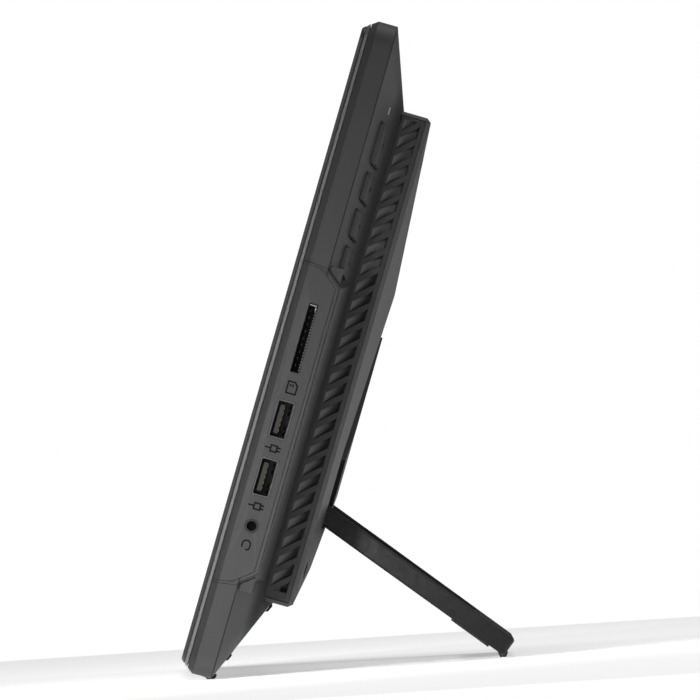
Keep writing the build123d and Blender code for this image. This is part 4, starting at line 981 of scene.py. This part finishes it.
def usbSocket(s, sign, high):
    deep, (baseDeep, baseHigh) = s["deep"], s["baseHalf"]
    face, inner = sign * s["face"], sign * (s["face"] - s["depth"])
    bm = bmesh.new()
    frameRing(bm, deep, high, s["wide"], s["tall"], s["radius"], s["wall"], face, inner)
    shell = finishMesh(bm, "shell", finish["portSteel"], 0.07, 2)
    bm = bmesh.new()
    block(bm, (inner, inner + sign * s["baseThick"]), (deep - baseDeep, deep + baseDeep),
          (high - baseHigh, high + baseHigh))
    block(bm, (inner, sign * (s["face"] - s["tongueBack"])), (deep + s["tongue"][0], deep + s["tongue"][1]),
          (high - s["tongueHalf"], high + s["tongueHalf"]))
    core = finishMesh(bm, "core", finish["portBlack"], 0.15, 2)
    bm = bmesh.new()
    for end in (-1, 1):
        # bent spring tabs on the wall that faces the tongue
        for at in s["tabsAt"]:
            low, top = high + end * at - s["tabHalf"], high + end * at + s["tabHalf"]
            outerDeep, innerDeep = (deep + offset for offset in s["tabDeep"])
            outline = [(outerDeep, low), (outerDeep, top), (innerDeep, top), (innerDeep, low)]
            near, far = (sign * (s["face"] - depth) for depth in s["tabSpan"])
            solid(bm, outline, near, far, s["tabBend"])
    tabs = finishMesh(bm, "tabs", finish["darkSteel"], 0.05)
    bm = bmesh.new()
    start = high - s["contactPitch"] * (s["contacts"] - 1) / 2
    skin = deep + s["tongue"][1]
    block(bm, [sign * (s["face"] - depth) for depth in s["contactSpan"]], (skin - 0.02, skin + 0.1),
          (start - s["contactHalf"], start + s["contactHalf"]))
    strips = finishMesh(bm, "strips", finish["contactGold"])
    runTree(strips, rowTree, Count=s["contacts"], Step=up * s["contactPitch"] * mm,
            Finish=finish["contactGold"])
    return [shell, core, tabs, strips]


for node, sign, high in (("usb_port_upper", 1, 95.0), ("usb_port_lower", 1, 73.8),
                         ("left_usb_port_upper", -1, 80.5),
                         ("left_usb_port_lower", -1, 62.5)):
    adopt(joined(node + "_socket", usbSocket(portSet, sign, high)), "housing", "port_metal", node)
print("USB sockets built")


# card slot: moulded body, folded metal cover, comb of teeth and row of pins
cardSet = {"face": 191.15, "depth": 23.0, "deep": 10.7, "high": 124.85, "wide": 2.8, "tall": 24.7,
           "teeth": 22,
           "pins": 9, "pinPitch": 2.5, "rim": 0.45}


def cardSlot(s):
    face, inner = s["face"], s["face"] - s["depth"]
    d, h, w, t = s["deep"], s["high"], s["wide"] / 2, s["tall"] / 2
    bm = bmesh.new()
    frameRing(bm, d, h, s["wide"] + 0.9, s["tall"] + 1.0, 0.5, s["rim"], face, inner)
    block(bm, (inner, inner + 0.8), (d - w, d + w), (h - t, h + t))
    body = finishMesh(bm, "body", finish["portBlack"], 0.06)
    bm = bmesh.new()
    # metal cover folded over the upper end, and the guide rail at the back edge
    block(bm, (face + 1.6, face - 3.0), (d - w + 0.1, d + w - 0.1), (h + t - 0.55, h + t - 0.15))
    block(bm, (face + 1.0, face - 2.5), (d + w - 0.6, d + w - 0.2), (h + t - 2.2, h + t - 0.7))
    cap = finishMesh(bm, "cap", finish["brightSteel"], 0.06)
    bm = bmesh.new()
    pitch = (s["tall"] - 1.2) / s["teeth"]
    low = h - t + 0.6
    block(bm, (face + 2.05, face - 1.5), (d + w - 0.28, d + w + 0.1), (low, low + pitch * 0.45))
    teeth = finishMesh(bm, "teeth", finish["portSteel"])
    runTree(teeth, rowTree, Count=s["teeth"], Step=up * pitch * mm, Finish=finish["portSteel"])
    bm = bmesh.new()
    step = s["pinPitch"]
    low = h - step * (s["pins"] - 1) / 2
    solid(bm, [(d - w + 0.1, low - 0.4), (d - w + 0.1, low + 0.4), (d - w + 0.3, low + 0.4),
               (d - w + 0.3, low - 0.4)],
          face - 5.0, face - 0.5, (0.9, 0.0))
    pins = finishMesh(bm, "pins", finish["darkSteel"], 0.04)
    runTree(pins, rowTree, Count=s["pins"], Step=up * step * mm, Finish=finish["darkSteel"])
    return [body, cap, teeth, pins]


adopt(joined("card_slot", cardSlot(cardSet)), "housing", "port_metal", "card_reader")
print("card slot built")


# back cover screws, one head set on six points
screwSet = {"radius": 2.9, "height": 1.5, "front": 31.2, "shank": 1.5, "length": 13.0, "recess": 1.5,
            "seed": 4,
            "places": [(-152, 46), (152, 46), (-152, 197), (152, 197), (-60, 197), (60, 197)]}


def makeScrewShape(s):
    # built round the origin, axis along the machine's back direction
    rings = [(s["shank"], -s["length"]), (s["shank"], 0.0), (s["radius"], 0.0),
             (s["radius"], s["height"] * 0.55),
             (s["radius"] * 0.88, s["height"] * 0.9), (s["recess"], s["height"]),
             (s["recess"] * 0.92, s["height"] * 0.45)]
    count = 24
    bm = bmesh.new()
    loops = []
    for k, (radius, high) in enumerate(rings):
        loop = []
        for n in range(count):
            t = 2 * math.pi * n / count
            r = radius
            if k >= 5:  # six-lobed socket
                r *= 0.86 + 0.14 * math.cos(6 * t)
            loop.append(bm.verts.new((r * math.cos(t), high, r * math.sin(t))))
        loops.append(loop)
    for a, b in zip(loops, loops[1:]):
        for n in range(count):
            m = (n + 1) % count
            bm.faces.new((a[n], a[m], b[m], b[n]))
    bm.faces.new(loops[0])
    bm.faces.new(list(reversed(loops[-1])))
    bmesh.ops.recalc_face_normals(bm, faces=bm.faces)
    bmesh.ops.transform(bm, matrix=Matrix.Scale(mm, 4) @ turnUpright, verts=bm.verts)
    mesh = bpy.data.meshes.new("screwShape")
    bm.to_mesh(mesh)
    bm.free()
    return newPiece("screwShape", mesh)


def coverScrews(s):
    shape = makeScrewShape(s)
    points = bpy.data.meshes.new("screwPlaces")
    points.from_pydata([place(x, s["front"], v) for x, v in s["places"]], [], [])
    screws = newPiece("cover_screws", points)
    runTree(screws, pointsTree, Shape=shape, Turn_Spread=2 * math.pi, Seed=s["seed"], Axis=back,
            Finish=finish["darkSteel"])
    bpy.data.objects.remove(shape)
    return screws


adopt(coverScrews(screwSet), "housing", "screw_steel", "back_cover_screws")
print("cover screws set")
